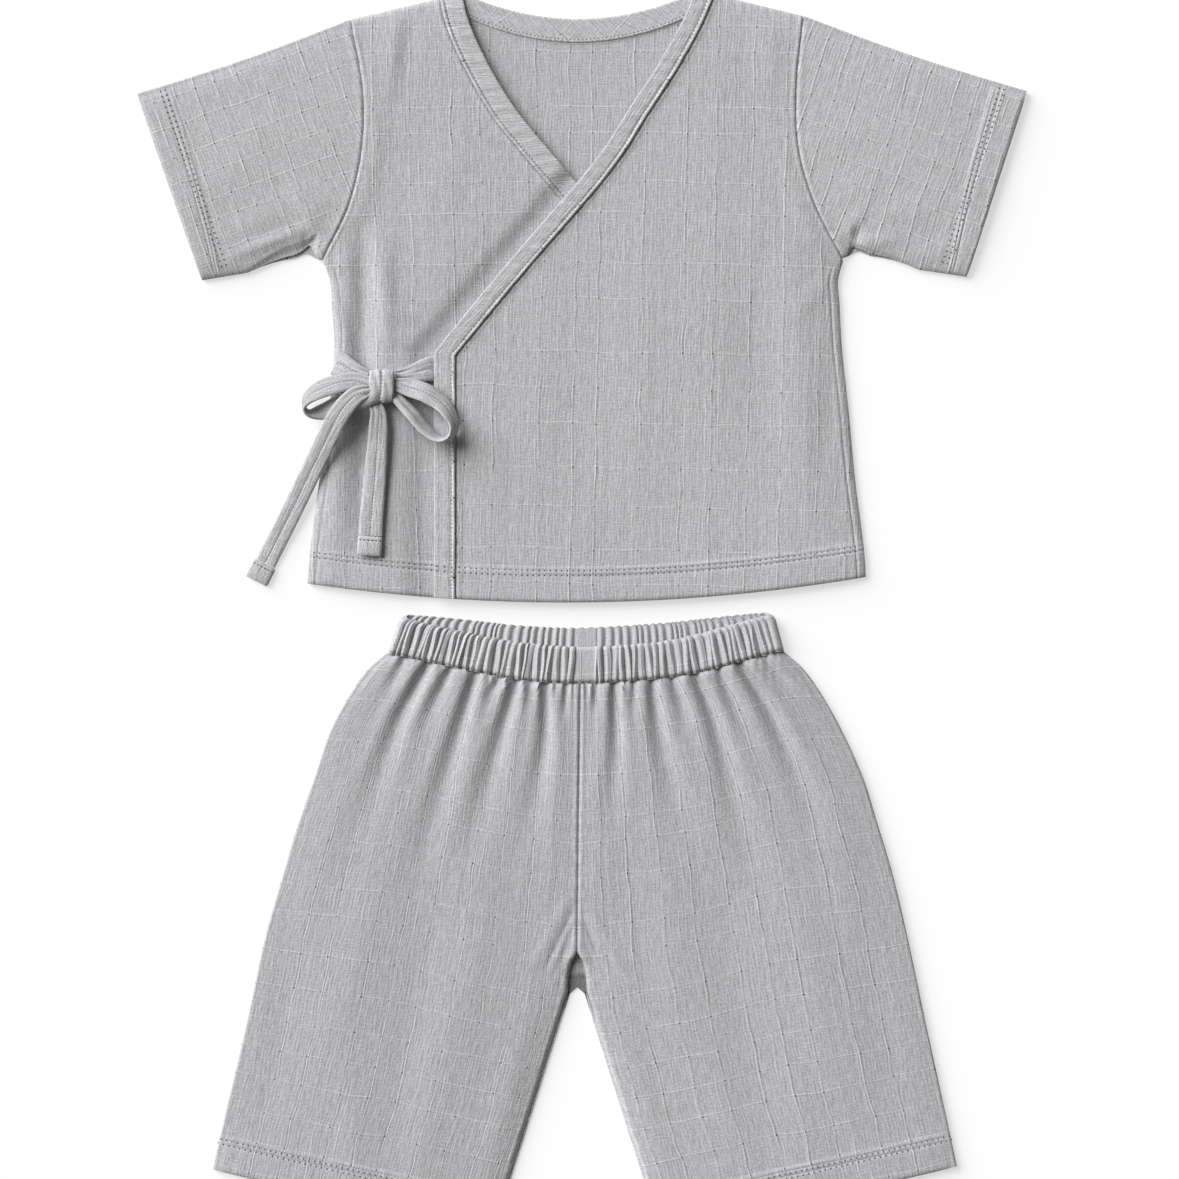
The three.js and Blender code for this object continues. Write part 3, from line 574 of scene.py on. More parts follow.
# Sleeves
# Each is one piece of gauze folded along its top, sewn underneath and hemmed at the cuff with two
# rows of stitches. The grain follows the sleeve. Both lie flat, a little crumpled at the underarm.

SLEEVES = {
    "left": {"top": (-222.4, 259.2), "bottom": (-190.0, 166.3), "turn": 19.2, "notch": 0.105, "deep": 2.6,
             "bared": 2.0, "pressed": 7.5},
    "right": {"top": (222.4, 260.4), "bottom": (192.4, 168.0), "turn": -18.0, "notch": 0.08, "deep": 2.2,
              "bared": 1.3, "pressed": 3.0},
}
CUFF_DEEP = 13.7
FOLD_RADIUS = 1.3
TURN_FLAT = 0.55  # a folded edge is pressed: it reaches out by this share of its height
UNDERARM_LIFT = 3.2
TOP_SAG = 1.6
SLEEVE_FOOT = 0.582  # how far up the body the sleeve begins, as a share of its height
GRAIN_SHIFT = 40  # so that the weave of the under side isn't that of the upper one
sleeve_folds = {
    "left": [
        (-174, 178, -138, 191.5, 3.0, 0.9), (-137.4, 181, -138.6, 189, 1.6, -0.8),
        (-182, 186, -146, 202, 8, 0.6),
        (-122, 200, -150, 214, 9, 0.6), (-200, 190, -150, 250, 14, 0.5), (-140, 280, -200, 258, 12, 0.4),
        (-128, 186, -142, 204, 3.5, 0.6), (-170, 172, -190, 178, 5, 0.4), (-118, 230, -150, 240, 10, 0.3),
    ],
    "right": [
        (136.4, 183, 138.2, 192.5, 1.9, -1.7), (140, 184, 160, 186, 4, 0.7), (142, 194, 176, 204, 8, 0.5),
        (124, 204, 150, 218, 9, 0.5), (200, 192, 152, 250, 14, 0.5), (138, 282, 200, 260, 12, 0.4),
        (131, 188, 142, 204, 3.5, 0.5), (166, 178, 190, 182, 5, 0.4), (120, 236, 156, 244, 10, 0.3),
    ],
}


def folded(front, back, fold, up, radius, low):
    """Rows of a piece folded over along one edge: its front, the turn, and its back on the floor,
    which runs from the fold."""
    turn = []
    for share in np.linspace(0, 1, 9)[1:-1]:
        angle = math.pi * (0.5 - share)
        flat = fold + up * radius * TURN_FLAT * math.cos(angle)
        lift = low + radius + radius * math.sin(angle)
        turn.append(np.concatenate([flat, np.broadcast_to(lift, fold.shape[:1])[:, None]], 1))
    back = np.concatenate([back, np.full(back.shape[:2] + (1,), low)], 2)
    return np.concatenate([front, np.stack(turn, 1), back], 1)


def sleeve(hand):
    sizes = SLEEVES[hand]
    outward = -1 if hand == "left" else 1
    line = shoulder_line(hand)
    first = float(on_edge(outer_edge(hand), np.array([SLEEVE_FOOT]), line)[0])
    foot_y = float(hem_line(first) * (1 - SLEEVE_FOOT) + line(first) * SLEEVE_FOOT)
    tip_x = float(on_edge(outer_edge(hand), np.array([1.0]), line)[0])
    tip_y = float(line(tip_x))
    across = spread(96, 0.6)
    hole_y = foot_y + across * (tip_y - foot_y)
    hole = np.stack([outer_edge(hand)(hole_y) + outward * 0.3, hole_y], -1)
    cuff = np.array(sizes["bottom"]) * (1 - across[:, None]) + np.array(sizes["top"]) * across[:, None]
    reach = np.hypot(*(cuff[50] - hole[50]))
    from_end = np.array([
        18.5, 17, 15.9, 15.2, 14.6, 14.1, 13.7, 13.2, 12.6, 11.9, 11.3, 10.8, 10.2, 9, 7, 5, 3, 1.6, 0.7, 0,
    ])
    cuff_stops = 1 - from_end / reach
    middle_stops = np.linspace(0.04, cuff_stops[0] - 0.012, 46)
    along = np.concatenate([[0, 0.004, 0.009, 0.016, 0.026], middle_stops, cuff_stops])
    a = along[:, None, None]
    spine = hole * (1 - a) + cuff * a
    bow = UNDERARM_LIFT * np.sin(np.pi * np.minimum(along * 1.6, 1)) + 2.4 * near(along - 0.13, 0.07)
    sag = np.sin(np.pi * along)[:, None] * across**2
    spine[..., 1] += bow[:, None] * (1 - across) ** 6 - TOP_SAG * sag
    up = spine[:, -1] - spine[:, -2]
    up /= np.linalg.norm(up, axis=1, keepdims=True)
    fold = spine[:, -1] - up * FOLD_RADIUS * TURN_FLAT
    keep = across[:, None] ** 8
    spine = spine * (1 - keep) + fold[:, None] * keep
    under = spine.copy()
    # Beside the armhole the front's lower edge is pushed up, which bares a strip of the back.
    bared = sizes["deep"] * near(along - sizes["notch"], 0.035)
    bared += sizes["bared"] * ease(along, 0.55, 0.15) * ease(along, 0.02, 0.08)
    spine[..., 1] += bared[:, None] * (1 - across) ** 8
    x, y = spine[..., 0], spine[..., 1]
    lower = np.linalg.norm(spine - spine[:, :1], axis=2)
    upper = np.linalg.norm(spine - fold[:, None], axis=2)
    pressed = (sizes["pressed"] * ease(along, 0.8, 0.15) * ease(along, 0.05, 0.1))[:, None]
    sunk = 1.9 * (1 - np.clip(lower / np.maximum(pressed, 0.1), 0, 1)) * np.minimum(pressed / 4, 1)
    z = rise(lower, np.minimum(lower, upper)) - sunk * settle(lower, 1.5)
    z = np.maximum(z, LOWEST - 0.35)
    edge = settle(np.minimum(lower, upper), 4)
    z = z + folds(x, y, sleeve_folds[hand]) * edge
    from_cuff = (1 - along)[:, None] * reach
    from_hole = along[:, None] * np.linalg.norm(cuff - hole, axis=1)
    z = z + hem_relief(from_cuff, CUFF_DEEP) * edge + seam_relief(from_hole, y, 0.35) * edge
    blend = ease(upper, 4, 0)
    z = z * (1 - blend) + (ON_FLOOR + 2 * FOLD_RADIUS) * blend
    front = np.concatenate([spine, z[..., None]], 2)
    points = folded(front, under[:, ::-1], fold, up, FOLD_RADIUS, ON_FLOOR)
    flat = straight_grain(points[..., 0], points[..., 1], sizes["turn"])
    back = points.shape[1] - len(across)
    flat[:, back:, 0] += GRAIN_SHIFT
    if hand == "right":
        points, flat = points[:, ::-1], flat[:, ::-1]
    made = shell(f"{hand}_sleeve", points, flat, SHELL, sleeve_cloth)
    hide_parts(f"sleeve_{hand}")
    return made


sleeve_cloth = cloth("slub_gauze_sleeve", (0.415, 0.415, 0.425), 2, steady=0.2, window=0.64)
left_sleeve = sleeve("left")
right_sleeve = sleeve("right")


# Ties and bow
# Two straps of the same gauze, folded and stitched down the middle. One leaves the side seam and
# one the over front's edge; they are tied in a bow, and their ends are turned up and stitched.

TIE_THICK = 1.9
STRAP_HALF = 5.2  # half the width of a strap that lies flat
half_strap = np.array([0.05, 0.14, 0.35, 0.6, 0.78, 0.9, 0.97, 1])
strap_across = np.concatenate([-half_strap[::-1], [0], half_strap])
tie_cloth = cloth("slub_gauze_ties", (0.428, 0.428, 0.438), 6, 1.2)
lines = "x y z turn width"
tie_lines = {
    "side_tie": table(
        lines, (-122.5, 124.4, 4.6, 0, 13.4), (-118.6, 122.5, 5.5, 0, 11.4), (-113.6, 120.3, 6.2, 4, 8.6),
        (-106.6, 118.0, 6.4, 8, 5),
    ),
    "front_tie": table(
        lines, (-70.8, 122.2, 3.1, 0, 12.4), (-75.4, 121.5, 4.6, 0, 12.2), (-80.4, 120.1, 5.9, 4, 10.8),
        (-86.4, 118.5, 6.6, 6, 8.2), (-92.9, 117.8, 6.4, 8, 5),
    ),
    "left_loop": table(
        lines, (-105.6, 114.0, 8.7, 0, 6), (-113, 115.0, 9.1, 8, 8.8), (-121, 113.8, 9.8, 20, 10),
        (-129.4, 110.9, 10, 24, 10), (-135.8, 106.8, 9.6, 48, 10), (-138.2, 101.8, 9, 85, 10),
        (-135.2, 98.9, 8.2, 114, 10), (-129.2, 99.9, 7.4, 146, 10), (-123.4, 103.1, 7.7, 154, 9),
        (-116.5, 106.8, 7.6, 160, 6.8),
    ),
    "right_loop": table(
        lines, (-93.7, 113.4, 8.7, 0, 6), (-86.4, 111.8, 9.6, -8, 9), (-78, 109, 10.6, -18, 10),
        (-70.8, 104.4, 10.2, -32, 10), (-65.8, 98.4, 10.9, -50, 10), (-63.6, 91.8, 11.2, -68, 10),
        (-66, 86.6, 11.3, -88, 10), (-71.6, 86.2, 11.2, -108, 10), (-77.8, 91, 10.5, -124, 10),
        (-84, 98.2, 9.8, -136, 9), (-90.2, 104.9, 9.3, -148, 6.4),
        (-95.5, 109.5, 7.8, -160, 5),
    ),
    "left_tail": table(
        lines, (-105.6, 110.0, 11.2, 0, 5.6), (-109.6, 108.9, 12.0, 0, 7.6), (-114.2, 106, 12.6, 0, 9.4),
        (-120.6, 98.2, 12.6, 0, 10.4), (-127, 86.2, 9.8, 0, 10.4), (-134.5, 71.8, 5.6, 0, 10.4),
        (-142.1, 56.6, 3.2, 0, 10.4), (-150.8, 39.4, 1.6, 0, 10.4), (-158.5, 24.4, 1.1, 0, 10.4),
    ),
    "right_tail": table(
        lines, (-103.6, 104.4, 7.6, 0, 6), (-101.6, 99.4, 8.5, -10, 7.6), (-101.4, 93, 8.6, -8, 9.2),
        (-102.0, 83, 7.9, 0, 9.8), (-103.2, 67, 7.2, 0, 11), (-104.8, 49, 6.9, 0, 11.7),
        (-105.5, 38.1, 6.7, 0, 11.7),
    ),
}


def paint_light_and_shade(piece, shade):
    """Paints light and shade into the colour of a piece's grid points: painted shade above nothing, painted
    light below it.
    """
    layer = piece.data.attributes.new("shade", "FLOAT", "POINT")
    layer.data.foreach_set("value", np.tile(shade.ravel(), 2))


def strap(name, node, line, length, resting, creases=0.0, count=12, tucked=0):
    """A flat strap along its middle line, with softly rolled edges and a groove down its middle.
    Its start is pressed thin over the length that is tucked in. Gives back its outer face."""
    place = np.arange(len(line["x"]))
    at = {key: curve(place, line[key]) for key in line}
    stops = np.linspace(0, place[-1], place[-1] * count + 1)
    middle = np.stack([at["x"](stops), at["y"](stops), at["z"](stops)], -1)
    along = np.gradient(middle, axis=0)
    along /= np.linalg.norm(along, axis=1, keepdims=True)
    level = np.stack([along[:, 1], -along[:, 0], 0 * stops], -1)
    level /= np.linalg.norm(level, axis=1, keepdims=True)
    lean = np.radians(-at["turn"](stops))[:, None]
    across = level * np.cos(lean) + np.array([0, 0, 1.0]) * np.sin(lean)
    normal = np.cross(across, along)
    normal /= np.linalg.norm(normal, axis=1, keepdims=True)
    across = np.cross(along, normal)
    run = np.concatenate([[0], np.cumsum(np.linalg.norm(np.diff(middle, axis=0), axis=1))])
    half = at["width"](stops)[:, None] / 2
    s = strap_across
    roll = 0.12 * near(np.abs(s) - 0.84, 0.12) - 0.14 * near(s, 0.09)
    pinch = 1 - np.clip(half / STRAP_HALF, 0, 1)
    pleat = (1.3 + creases) * pinch * np.cos(s * 6.6)
    ripple = 0.07 * np.sin(run / 1.9) + 0.08 * np.sin(run / 4.3 + 1)
    lift = roll + pleat + ripple[:, None] * (0.4 + np.abs(s))
    points = middle[:, None] + across[:, None] * (s * half)[..., None] + normal[:, None] * lift[..., None]
    start = 0.4 * TIE_THICK if tucked else TIE_THICK
    thick = np.interp(run, [0, tucked, run[-1]], [start, TIE_THICK, TIE_THICK])[:, None]
    profile = thick * np.sqrt(np.maximum(1 - np.abs(s) ** 5, 0.06)) - 0.25 * near(s, 0.07)
    weave = np.stack([s * STRAP_HALF + 0 * half, run[:, None] + 0 * s], -1)
    made = shell(name, points, weave, profile, tie_cloth, sharp=75)
    # Painted shade darkens a strap where it turns up on its edge towards the light, so that it stays as grey
    # as the rest.
    paint_light_and_shade(made, 0.36 * np.clip(np.sin(-lean), 0, 1) + 0 * s)
    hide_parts(node)
    return points + normal[:, None] * profile[..., None] / 2


CREASED = {"creases": 0.5, "count": 14}
ties = {
    name: strap(name, node, tie_lines[line], length, resting, **more)
    for name, node, line, length, resting, more in (
        ("side_tie", "tie_side", "side_tie", 0.0175, under_front, CREASED),
        ("front_tie", "tie_front", "front_tie", 0.0245, under_front, {**CREASED, "tucked": 6}),
        ("left_bow_loop", "bow_loop_left", "left_loop", 0.062, "side_tie", {}),
        ("right_bow_loop", "bow_loop_right", "right_loop", 0.076, "front_tie", {}),
        ("left_tail", "tie_tail_left", "left_tail", 0.106, "left_bow_loop", {}),
        ("right_tail", "tie_tail_right", "right_tail", 0.071, under_front, {}),
    )
}

TIE_END = 9.8  # length of a turned-up end
END_ROW = 2.2  # from its upper edge to its row of stitches


def tie_end(name, node, line):
    """The turned-up end of a tie: three layers, a little wider, stitched across near its top."""
    x1, y1, x0, y0 = line["x"][-1], line["y"][-1], line["x"][-2], line["y"][-2]
    run = np.array([x1 - x0, y1 - y0])
    run /= np.linalg.norm(run)
    side = np.array([-run[1], run[0]])
    stops = np.array([0, 0.25, 0.6, 1.1, 1.7, END_ROW, 2.7, 3.6, 5, 6.6, 8.2, 9.1, 9.5, TIE_END])
    s = strap_across
    wide = 6.1 - 0.5 * near(stops, 0.6) - 0.5 * near(stops - TIE_END, 0.5)
    flat = np.array([x1, y1]) + (0.3 + stops)[:, None, None] * run + (s * wide[:, None])[..., None] * side
    z = max(line["z"][-1], 1.35) - 0.1 * near(stops - END_ROW, 0.5)[:, None] + 0 * s
    from_ends = np.minimum(stops, TIE_END - stops) + 0.25
    ends = np.sqrt(np.clip(from_ends / 1.3, 0.1, 1))[:, None]
    profile = 2.5 * np.sqrt(np.maximum(1 - np.abs(s) ** 6, 0.06)) * ends
    profile = profile - 0.3 * near(stops - END_ROW, 0.45)[:, None]
    weave = np.stack([s * 5.6 + 0 * wide[:, None], stops[:, None] + 0 * s], -1)
    points = np.concatenate([flat, z[..., None]], 2)
    made = shell(name, points[:, ::-1], weave[:, ::-1], profile, tie_cloth, sharp=75)
    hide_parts(node)
    return made


left_end = tie_end("left_tie_end", "tie_end_left", tie_lines["left_tail"])
right_end = tie_end("right_tie_end", "tie_end_right", tie_lines["right_tail"])

KNOT = {"centre": (-99.7, 112.4, 9.2), "half": (6.2, 8.5, 3.7)}
cx, cy, cz = KNOT["centre"]
hx, hy, hz = KNOT["half"]
rows = np.linspace(-1, 1, 41)[:, None]
angle = np.linspace(0, 2 * np.pi, 73)[:-1][::-1]
belly = 1 - 0.12 * np.abs(rows) ** 3 - 0.20 * near(rows - 0.02, 0.13) + 0.02 * np.sin(rows * 7)
up = np.sign(np.sin(angle)) * np.abs(np.sin(angle)) ** 0.75
out = np.sign(np.cos(angle)) * np.abs(np.cos(angle)) ** 0.85
y = cy + (hy - 0.8) * out * (0.55 + 0.45 * belly) + 0.25 * rows * np.sin(angle)
z = cz + (hz - 0.75) * up * belly + 0.16 * np.sin(rows * 9 + y / 2.2)
x = cx + hx * rows * (1 - 0.04 * np.cos(angle))
tuck = ease(cy - y, 1.5, 8) * ease(-rows, 0.0, 0.95)
x, y = x - 3.4 * tuck - 1.2 * ease(cy - y, 2, 8), y - 3.2 * tuck
knot_points = np.stack([x, y, z], -1)
weave = np.stack([hx * rows + 0 * angle, 7 * angle + 0 * rows], -1)
rim = 1.5 * np.sqrt(np.maximum(1 - np.abs(rows) ** 8, 0.12))
knot = shell("knotted_strap", knot_points, weave, rim, tie_cloth, ring=True, sharp=75)
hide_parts("bow_knot")


# Trouser legs
# Each leg is one piece of gauze folded down its outer side, sewn along the inner leg and, above the
# crotch, to the other leg at front and back. It is gathered at the waist and hemmed below.

leg_sides = table(
    "y left right",
    (-282, -185.2, 188.2), (-258, -179.9, 183.1), (-212, -168.9, 173.0), (-160, -157.6, 161.9),
    (-131, -149.2, 155.0), (-105, -141.4, 147.2), (-83, -133.6, 140.3), (-58.5, -125.2, 129.2),
    (-42, -116.2, 119.9), (-29, -107.0, 110.6), (-19.5, -96.2, 100.2),
)
band_line = table(
    "x front_top front_low back_top",
    (-96.9, -1.2, -20.8, -1.2), (-75.2, -6.6, -25.6, -2.5), (-53.6, -11.3, -29.9, -4.6),
    (-30.7, -15.5, -34.2, -7.0), (-1.0, -17.7, -36.0, -8.0), (39.7, -14.9, -33.5, -5.8),
    (61.2, -10.5, -29.9, -3.6), (82.7, -4.6, -24.2, -1.3), (100.7, -0.2, -19.4, -0.2),
)
BAND_ENDS = (-96.9, 100.7)
BAND_MID = 5.6
BACK_DEEP = 19.2
LEG_HEMS = {"left": (-184.4, -278.6, -42.6, -311.0), "right": (187.3, -277.0, 38.4, -311.0)}
CROTCH = {"x": -2.35, "front": -170.0, "back": -189.4}
WAIST_SEAM = -0.9
LEG_FOLD = 1.5
HEM_WIDE = 146.0
LEG_LONG = 275.0
LEG_HEM_DEEP = 17.2
BAND_FOOT = -36  # Y of the waistband's lower edge at the middle
PARTING = 0.317  # how fast each inner leg leaves the middle below the crotch
ROUND_FOLD = 4.7  # length of cloth round the outer fold
GRAIN_BEND = 25  # length over which the grain bends at the crotch
PATCH_SEAM = -180.6  # Y of the cross seam on the back's patch in the crotch
side_at = {hand: curve(leg_sides["y"], leg_sides[hand]) for hand in ("left", "right")}
band_at = {key: curve(band_line["x"], band_line[key]) for key in ("front_top", "front_low", "back_top")}

# Each gather's trough: where it leaves the band, where it bends, where it ends, its width at both
# ends and its depth.
leg_gathers = {
    "left": [
        (-88, -22, -94, -34, -99, -44, 2.0, 3.5, 1.4), (-77.5, -27, -91.5, -55, -113, -118, 2.6, 7.5, 2.3),
        (-66, -29, -75, -49, -81, -66, 2.2, 4.5, 1.6), (-53.5, -31, -61, -57.5, -88, -152, 2.4, 9, 2.4),
        (-41, -33, -45, -40, -47, -50, 1.8, 3.2, 1.3), (-33, -34, -41, -64, -58, -130, 2.4, 8, 2.3),
        (-25.5, -35, -25.5, -44, -26, -52, 1.8, 3.0, 1.2), (-18.5, -36, -18.5, -64, -28, -126, 2.2, 7, 2.2),
        (-7.5, -37, -8, -44, -8.5, -54, 1.5, 2.6, 1.0),
    ],
    "right": [
        (7.5, -36, 7, -44, 6.5, -54, 1.5, 2.6, 1.0), (16, -36, 17, -69, 13, -120, 2.2, 6.5, 2.2),
        (26, -35, 26.5, -43, 27, -52, 1.8, 3.0, 1.2), (34.5, -34, 39, -61.5, 54, -126, 2.4, 8, 2.4),
        (45, -33, 50, -49, 51, -64, 2.2, 3.8, 1.7), (56.5, -32, 66.5, -56.5, 90, -150, 2.4, 9, 2.5),
        (68.5, -30, 74, -42.5, 84, -68, 2.2, 4.2, 1.8), (79, -26.5, 95, -52.5, 123, -120, 2.6, 7.5, 2.7),
        (90, -22, 99, -32.5, 107, -44, 2.0, 3.6, 1.5),
    ],
}
# Broad soft folds further down, and the creases that fan out from the crotch.
leg_folds = {
    "left": [
        (-100, -110, -132, -250, 13, 0.7), (-74, -120, -92, -262, 12, -0.6), (-46, -110, -62, -230, 11, 0.5),
        (-142, -150, -160, -262, 8, -0.4), (-120, -80, -142, -170, 9, 0.5),
        (-3, -146, -19, -180, 1.4, -0.55),
        (-3, -153, -14, -182, 1.2, -0.5), (-3, -159, -11, -178, 1.1, -0.4),
        (-4, -138, -27, -182, 2.5, 0.35), (-24, -190, -52, -300, 7, 0.6),
        (-14, -60, -16, -150, 8, 0.4), (-66, -190, -84, -292, 11, 0.5), (-112, -230, -118, -290, 9, 0.5),
    ],
    "right": [
        (98, -110, 132, -250, 13, 0.7), (70, -130, 88, -262, 12, -0.5), (40, -110, 52, -230, 11, 0.6),
        (138, -140, 160, -262, 9, -0.4), (120, -84, 140, -170, 9, 0.5), (0, -150, 12, -184, 1.4, -0.55),
        (0, -156, 18, -180, 1.2, -0.45), (0, -160, 8, -180, 1.1, -0.4),
        (1, -142, 24, -186, 2.5, 0.35), (16, -196, 46, -300, 7, 0.6),
        (12, -60, 8, -150, 8, 0.4), (60, -190, 80, -292, 11, 0.5), (108, -230, 114, -290, 9, 0.5),
    ],
}


def gathers_below(x, y, rows):
    """Troughs that start deep at a seam, then widen and fade along a bent line, ridges beside them."""
    height = np.zeros_like(x)
    for x0, y0, x1, y1, x2, y2, narrow, wide, deep in rows:
        middle = curve(np.array([y2, y1, y0]), np.array([x2, x1, x0]))
        share = np.clip((y0 - y) / (y0 - y2), 0, 1)
        distance = (x - middle(y)) / math.hypot(1, (x2 - x0) / (y2 - y0))
        width = narrow + (wide - narrow) * share
        depth = deep * (1 - share) ** 1.3
        height -= 1.25 * depth * near(distance, width)
        height += 0.4 * depth * (near(distance - 1.7 * width, width) + near(distance + 1.7 * width, width))
    return height


def leg(hand):
    outward = -1 if hand == "left" else 1
    outer_x, outer_y, inner_x, inner_y = LEG_HEMS[hand]

    def hem(x):
        return outer_y + (inner_y - outer_y) * (x - outer_x) / (inner_x - outer_x)

    def centre(y):
        down = np.clip((y - BAND_FOOT) / (CROTCH["front"] - BAND_FOOT), 0, 1)
        return WAIST_SEAM + (CROTCH["x"] - WAIST_SEAM) * down

    def parted(y):
        return PARTING * np.maximum(CROTCH["back"] - y, 0)

    def back_inner(y):
        step = 3.0 * ease(y, CROTCH["back"] + 0.5, CROTCH["back"] - 0.7)
        return centre(y) + outward * (0.02 + parted(y) + step)

    def front_inner(y):
        return centre(y) + outward * (0.15 + 0.99 * parted(y) + 5.2 * settle(CROTCH["front"] - y, 6))

    def soft_inner(y):
        """The inner leg as the grain follows it, without the step at the crotch."""
        below = (CROTCH["back"] - y) / GRAIN_BEND
        return centre(y) + outward * PARTING * GRAIN_BEND * np.log1p(np.exp(below))

    def outer(y):
        return side_at[hand](y) - outward * LEG_FOLD * TURN_FLAT

    def front_waist(x):
        return band_at["front_low"](np.clip(x, *BAND_ENDS))

    def back_waist(x):
        return band_at["back_top"](np.clip(x, *BAND_ENDS)) - BACK_DEEP - 0.3

    def grid(share, v, inner, waist):
        ends = []
        for edge in (inner, outer):
            y = -25 - v * 260
            for _ in range(14):
                y = waist(edge(y)) * (1 - v) + hem(edge(y)) * v
            ends.append(edge(y)[:, None])
        x = ends[0] * (1 - share) + ends[1] * share
        return x, waist(x) * (1 - v[:, None]) + hem(x) * v[:, None]

    from_end = np.array([
        19.8, 18.8, 18, 17.5, 17.1, 16.6, 15.8, 15.2, 14.7, 14.2, 13.4, 12, 9.5, 7, 4.5, 2.5, 1.2, 0.5, 0,
    ])
    v = np.concatenate([
        [0, 0.002, 0.005, 0.009, 0.014], np.linspace(0.02, 0.925, 150), 1 - from_end / LEG_LONG,
    ])
    share = spread(112, 0.55)
    x, y = grid(share, v, front_inner, front_waist)
    width = np.abs(x[:, -1:] - x[:, :1])
    from_fold, from_seam = (1 - share) * width, share * width
    below = ease(y, CROTCH["front"] + 4, CROTCH["front"] - 6)
    from_inseam = from_seam * below + 60 * (1 - below)
    slow = ease(y, CROTCH["front"] + 70, CROTCH["front"] - 50)
    dome = 1.6 * settle(np.minimum(from_fold, from_seam * slow + 60 * (1 - slow)), 26)
    down = front_waist(x) - y
    z = LOWEST + 0.8 * settle(from_inseam, 0.6) + 0.8 * settle(from_inseam, 6) + dome
    lift = BAND_MID - ON_FLOOR - 2 * LEG_FOLD - dome
    z += np.maximum(lift, 0) * np.exp(-down / 22) * settle(from_fold, 5)
    inside = settle(from_fold, 5)
    z += gathers_below(x, y, leg_gathers[hand]) * inside
    z += folds(x, y, leg_folds[hand]) * inside * settle(from_inseam, 5)
    pucker = np.sin(x * 1.62 + 1.1 * np.sin(x * 0.31)) * 0.5 * np.exp(-down / 8)
    pucker += np.sin(x * 2.9 + 1.6 * np.sin(x * 0.23)) * 0.3 * np.exp(-down / 4.5)
    z += (pucker - 1.1 * np.exp(-down / 1.3)) * settle(from_fold, 2)
    z += seam_relief(from_seam, y, 0.5) * inside
    z += hem_relief((1 - v[:, None]) * LEG_LONG, LEG_HEM_DEEP) * inside
    blend = ease(from_fold, 4, 0)
    z = z * (1 - blend) + (ON_FLOOR + 2 * LEG_FOLD) * blend
    front = np.stack([x, y, z], -1)
    back_share = spread(50, 0.4)
    back_x, back_y = grid(back_share[::-1], v, back_inner, back_waist)
    fold = np.stack([x[:, -1], y[:, -1]], -1)
    up = np.broadcast_to(np.array([outward, 0.0]), fold.shape)
    points = folded(front, np.stack([back_x, back_y], -1), fold, up, LEG_FOLD, ON_FLOOR)
    turned = (points.shape[1] - len(share) - len(back_share)) + 1
    front_u = (x - soft_inner(y)) / (x[:, -1:] - soft_inner(y)) * HEM_WIDE
    back_u = (back_x - soft_inner(back_y)) / (back_x[:, :1] - soft_inner(back_y)) * HEM_WIDE
    turn_u = HEM_WIDE + np.linspace(0, ROUND_FOLD, turned + 1)[1:-1] + 0 * y[:, :1]
    u = np.concatenate([front_u, turn_u, 2 * HEM_WIDE + ROUND_FOLD - back_u], 1)
    weave = np.stack([u, -v[:, None] * LEG_LONG + 0 * u], -1)
    # Painted shade on the back's small patch that shows in the crotch, most of all below its cross seam, and
    # painted light on the back's strip bared along each inner leg further down, where the front's shadow
    # falls.
    px, py, pz = points[..., 0], points[..., 1], points[..., 2]
    on_back = ease(pz, 1.5, 0.9)
    in_patch = on_back * near(px - CROTCH["x"], 14)
    painted_shade_and_light = in_patch * ease(py, -197, -189) * ease(py, -150, -165)
    painted_shade_and_light *= 0.2 + 0.4 * ease(py, PATCH_SEAM + 0.6, PATCH_SEAM - 1)
    painted_shade_and_light -= 0.45 * on_back * near(px - back_inner(py), 5) * ease(py, -197, -207)
    from_seam = py - PATCH_SEAM
    points[..., 2] += in_patch * (0.45 * near(from_seam, 0.7) - 0.3 * near(from_seam + 1.3, 0.5))
    points, weave, painted_shade_and_light = points[::-1], weave[::-1], painted_shade_and_light[::-1]
    if hand == "left":
        points, weave, painted_shade_and_light = points[:, ::-1], weave[:, ::-1], painted_shade_and_light[:, ::-1]
    made = shell(f"{hand}_leg", points, weave, SHELL, leg_cloth)
    paint_light_and_shade(made, painted_shade_and_light)
    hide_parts(f"leg_{hand}")
    return made


leg_cloth = cloth("slub_gauze_legs", (0.384, 0.384, 0.394), 3, steady=0.3, window=0.86)
left_leg = leg("left")
right_leg = leg("right")


# Waistband
# A ring of the same gauze folded over elastic and gathered by it. Its front lies below its back, whose
# inside shows above it; the legs are sewn into its lower edge.

BAND_LEAN = 6.2
BAND_ROUND = (BAND_MID - ON_FLOOR) / 2
BAND_CORNER = 3.0  # how far the ends' top corners are rounded off
BAND_PLAIN = 1.9  # X of the middle of the plain stretch, where the elastic is joined
FRONT_GATHERS, BACK_GATHERS = 57, 49


def crowded(count, seed, uneven):
    """Stops of uneven spacing, as gathers fall on elastic."""
    gaps = 1 + uneven * (np.random.default_rng(seed).random(count) - 0.5)
    return np.concatenate([[0], np.cumsum(gaps)]) / gaps.sum()


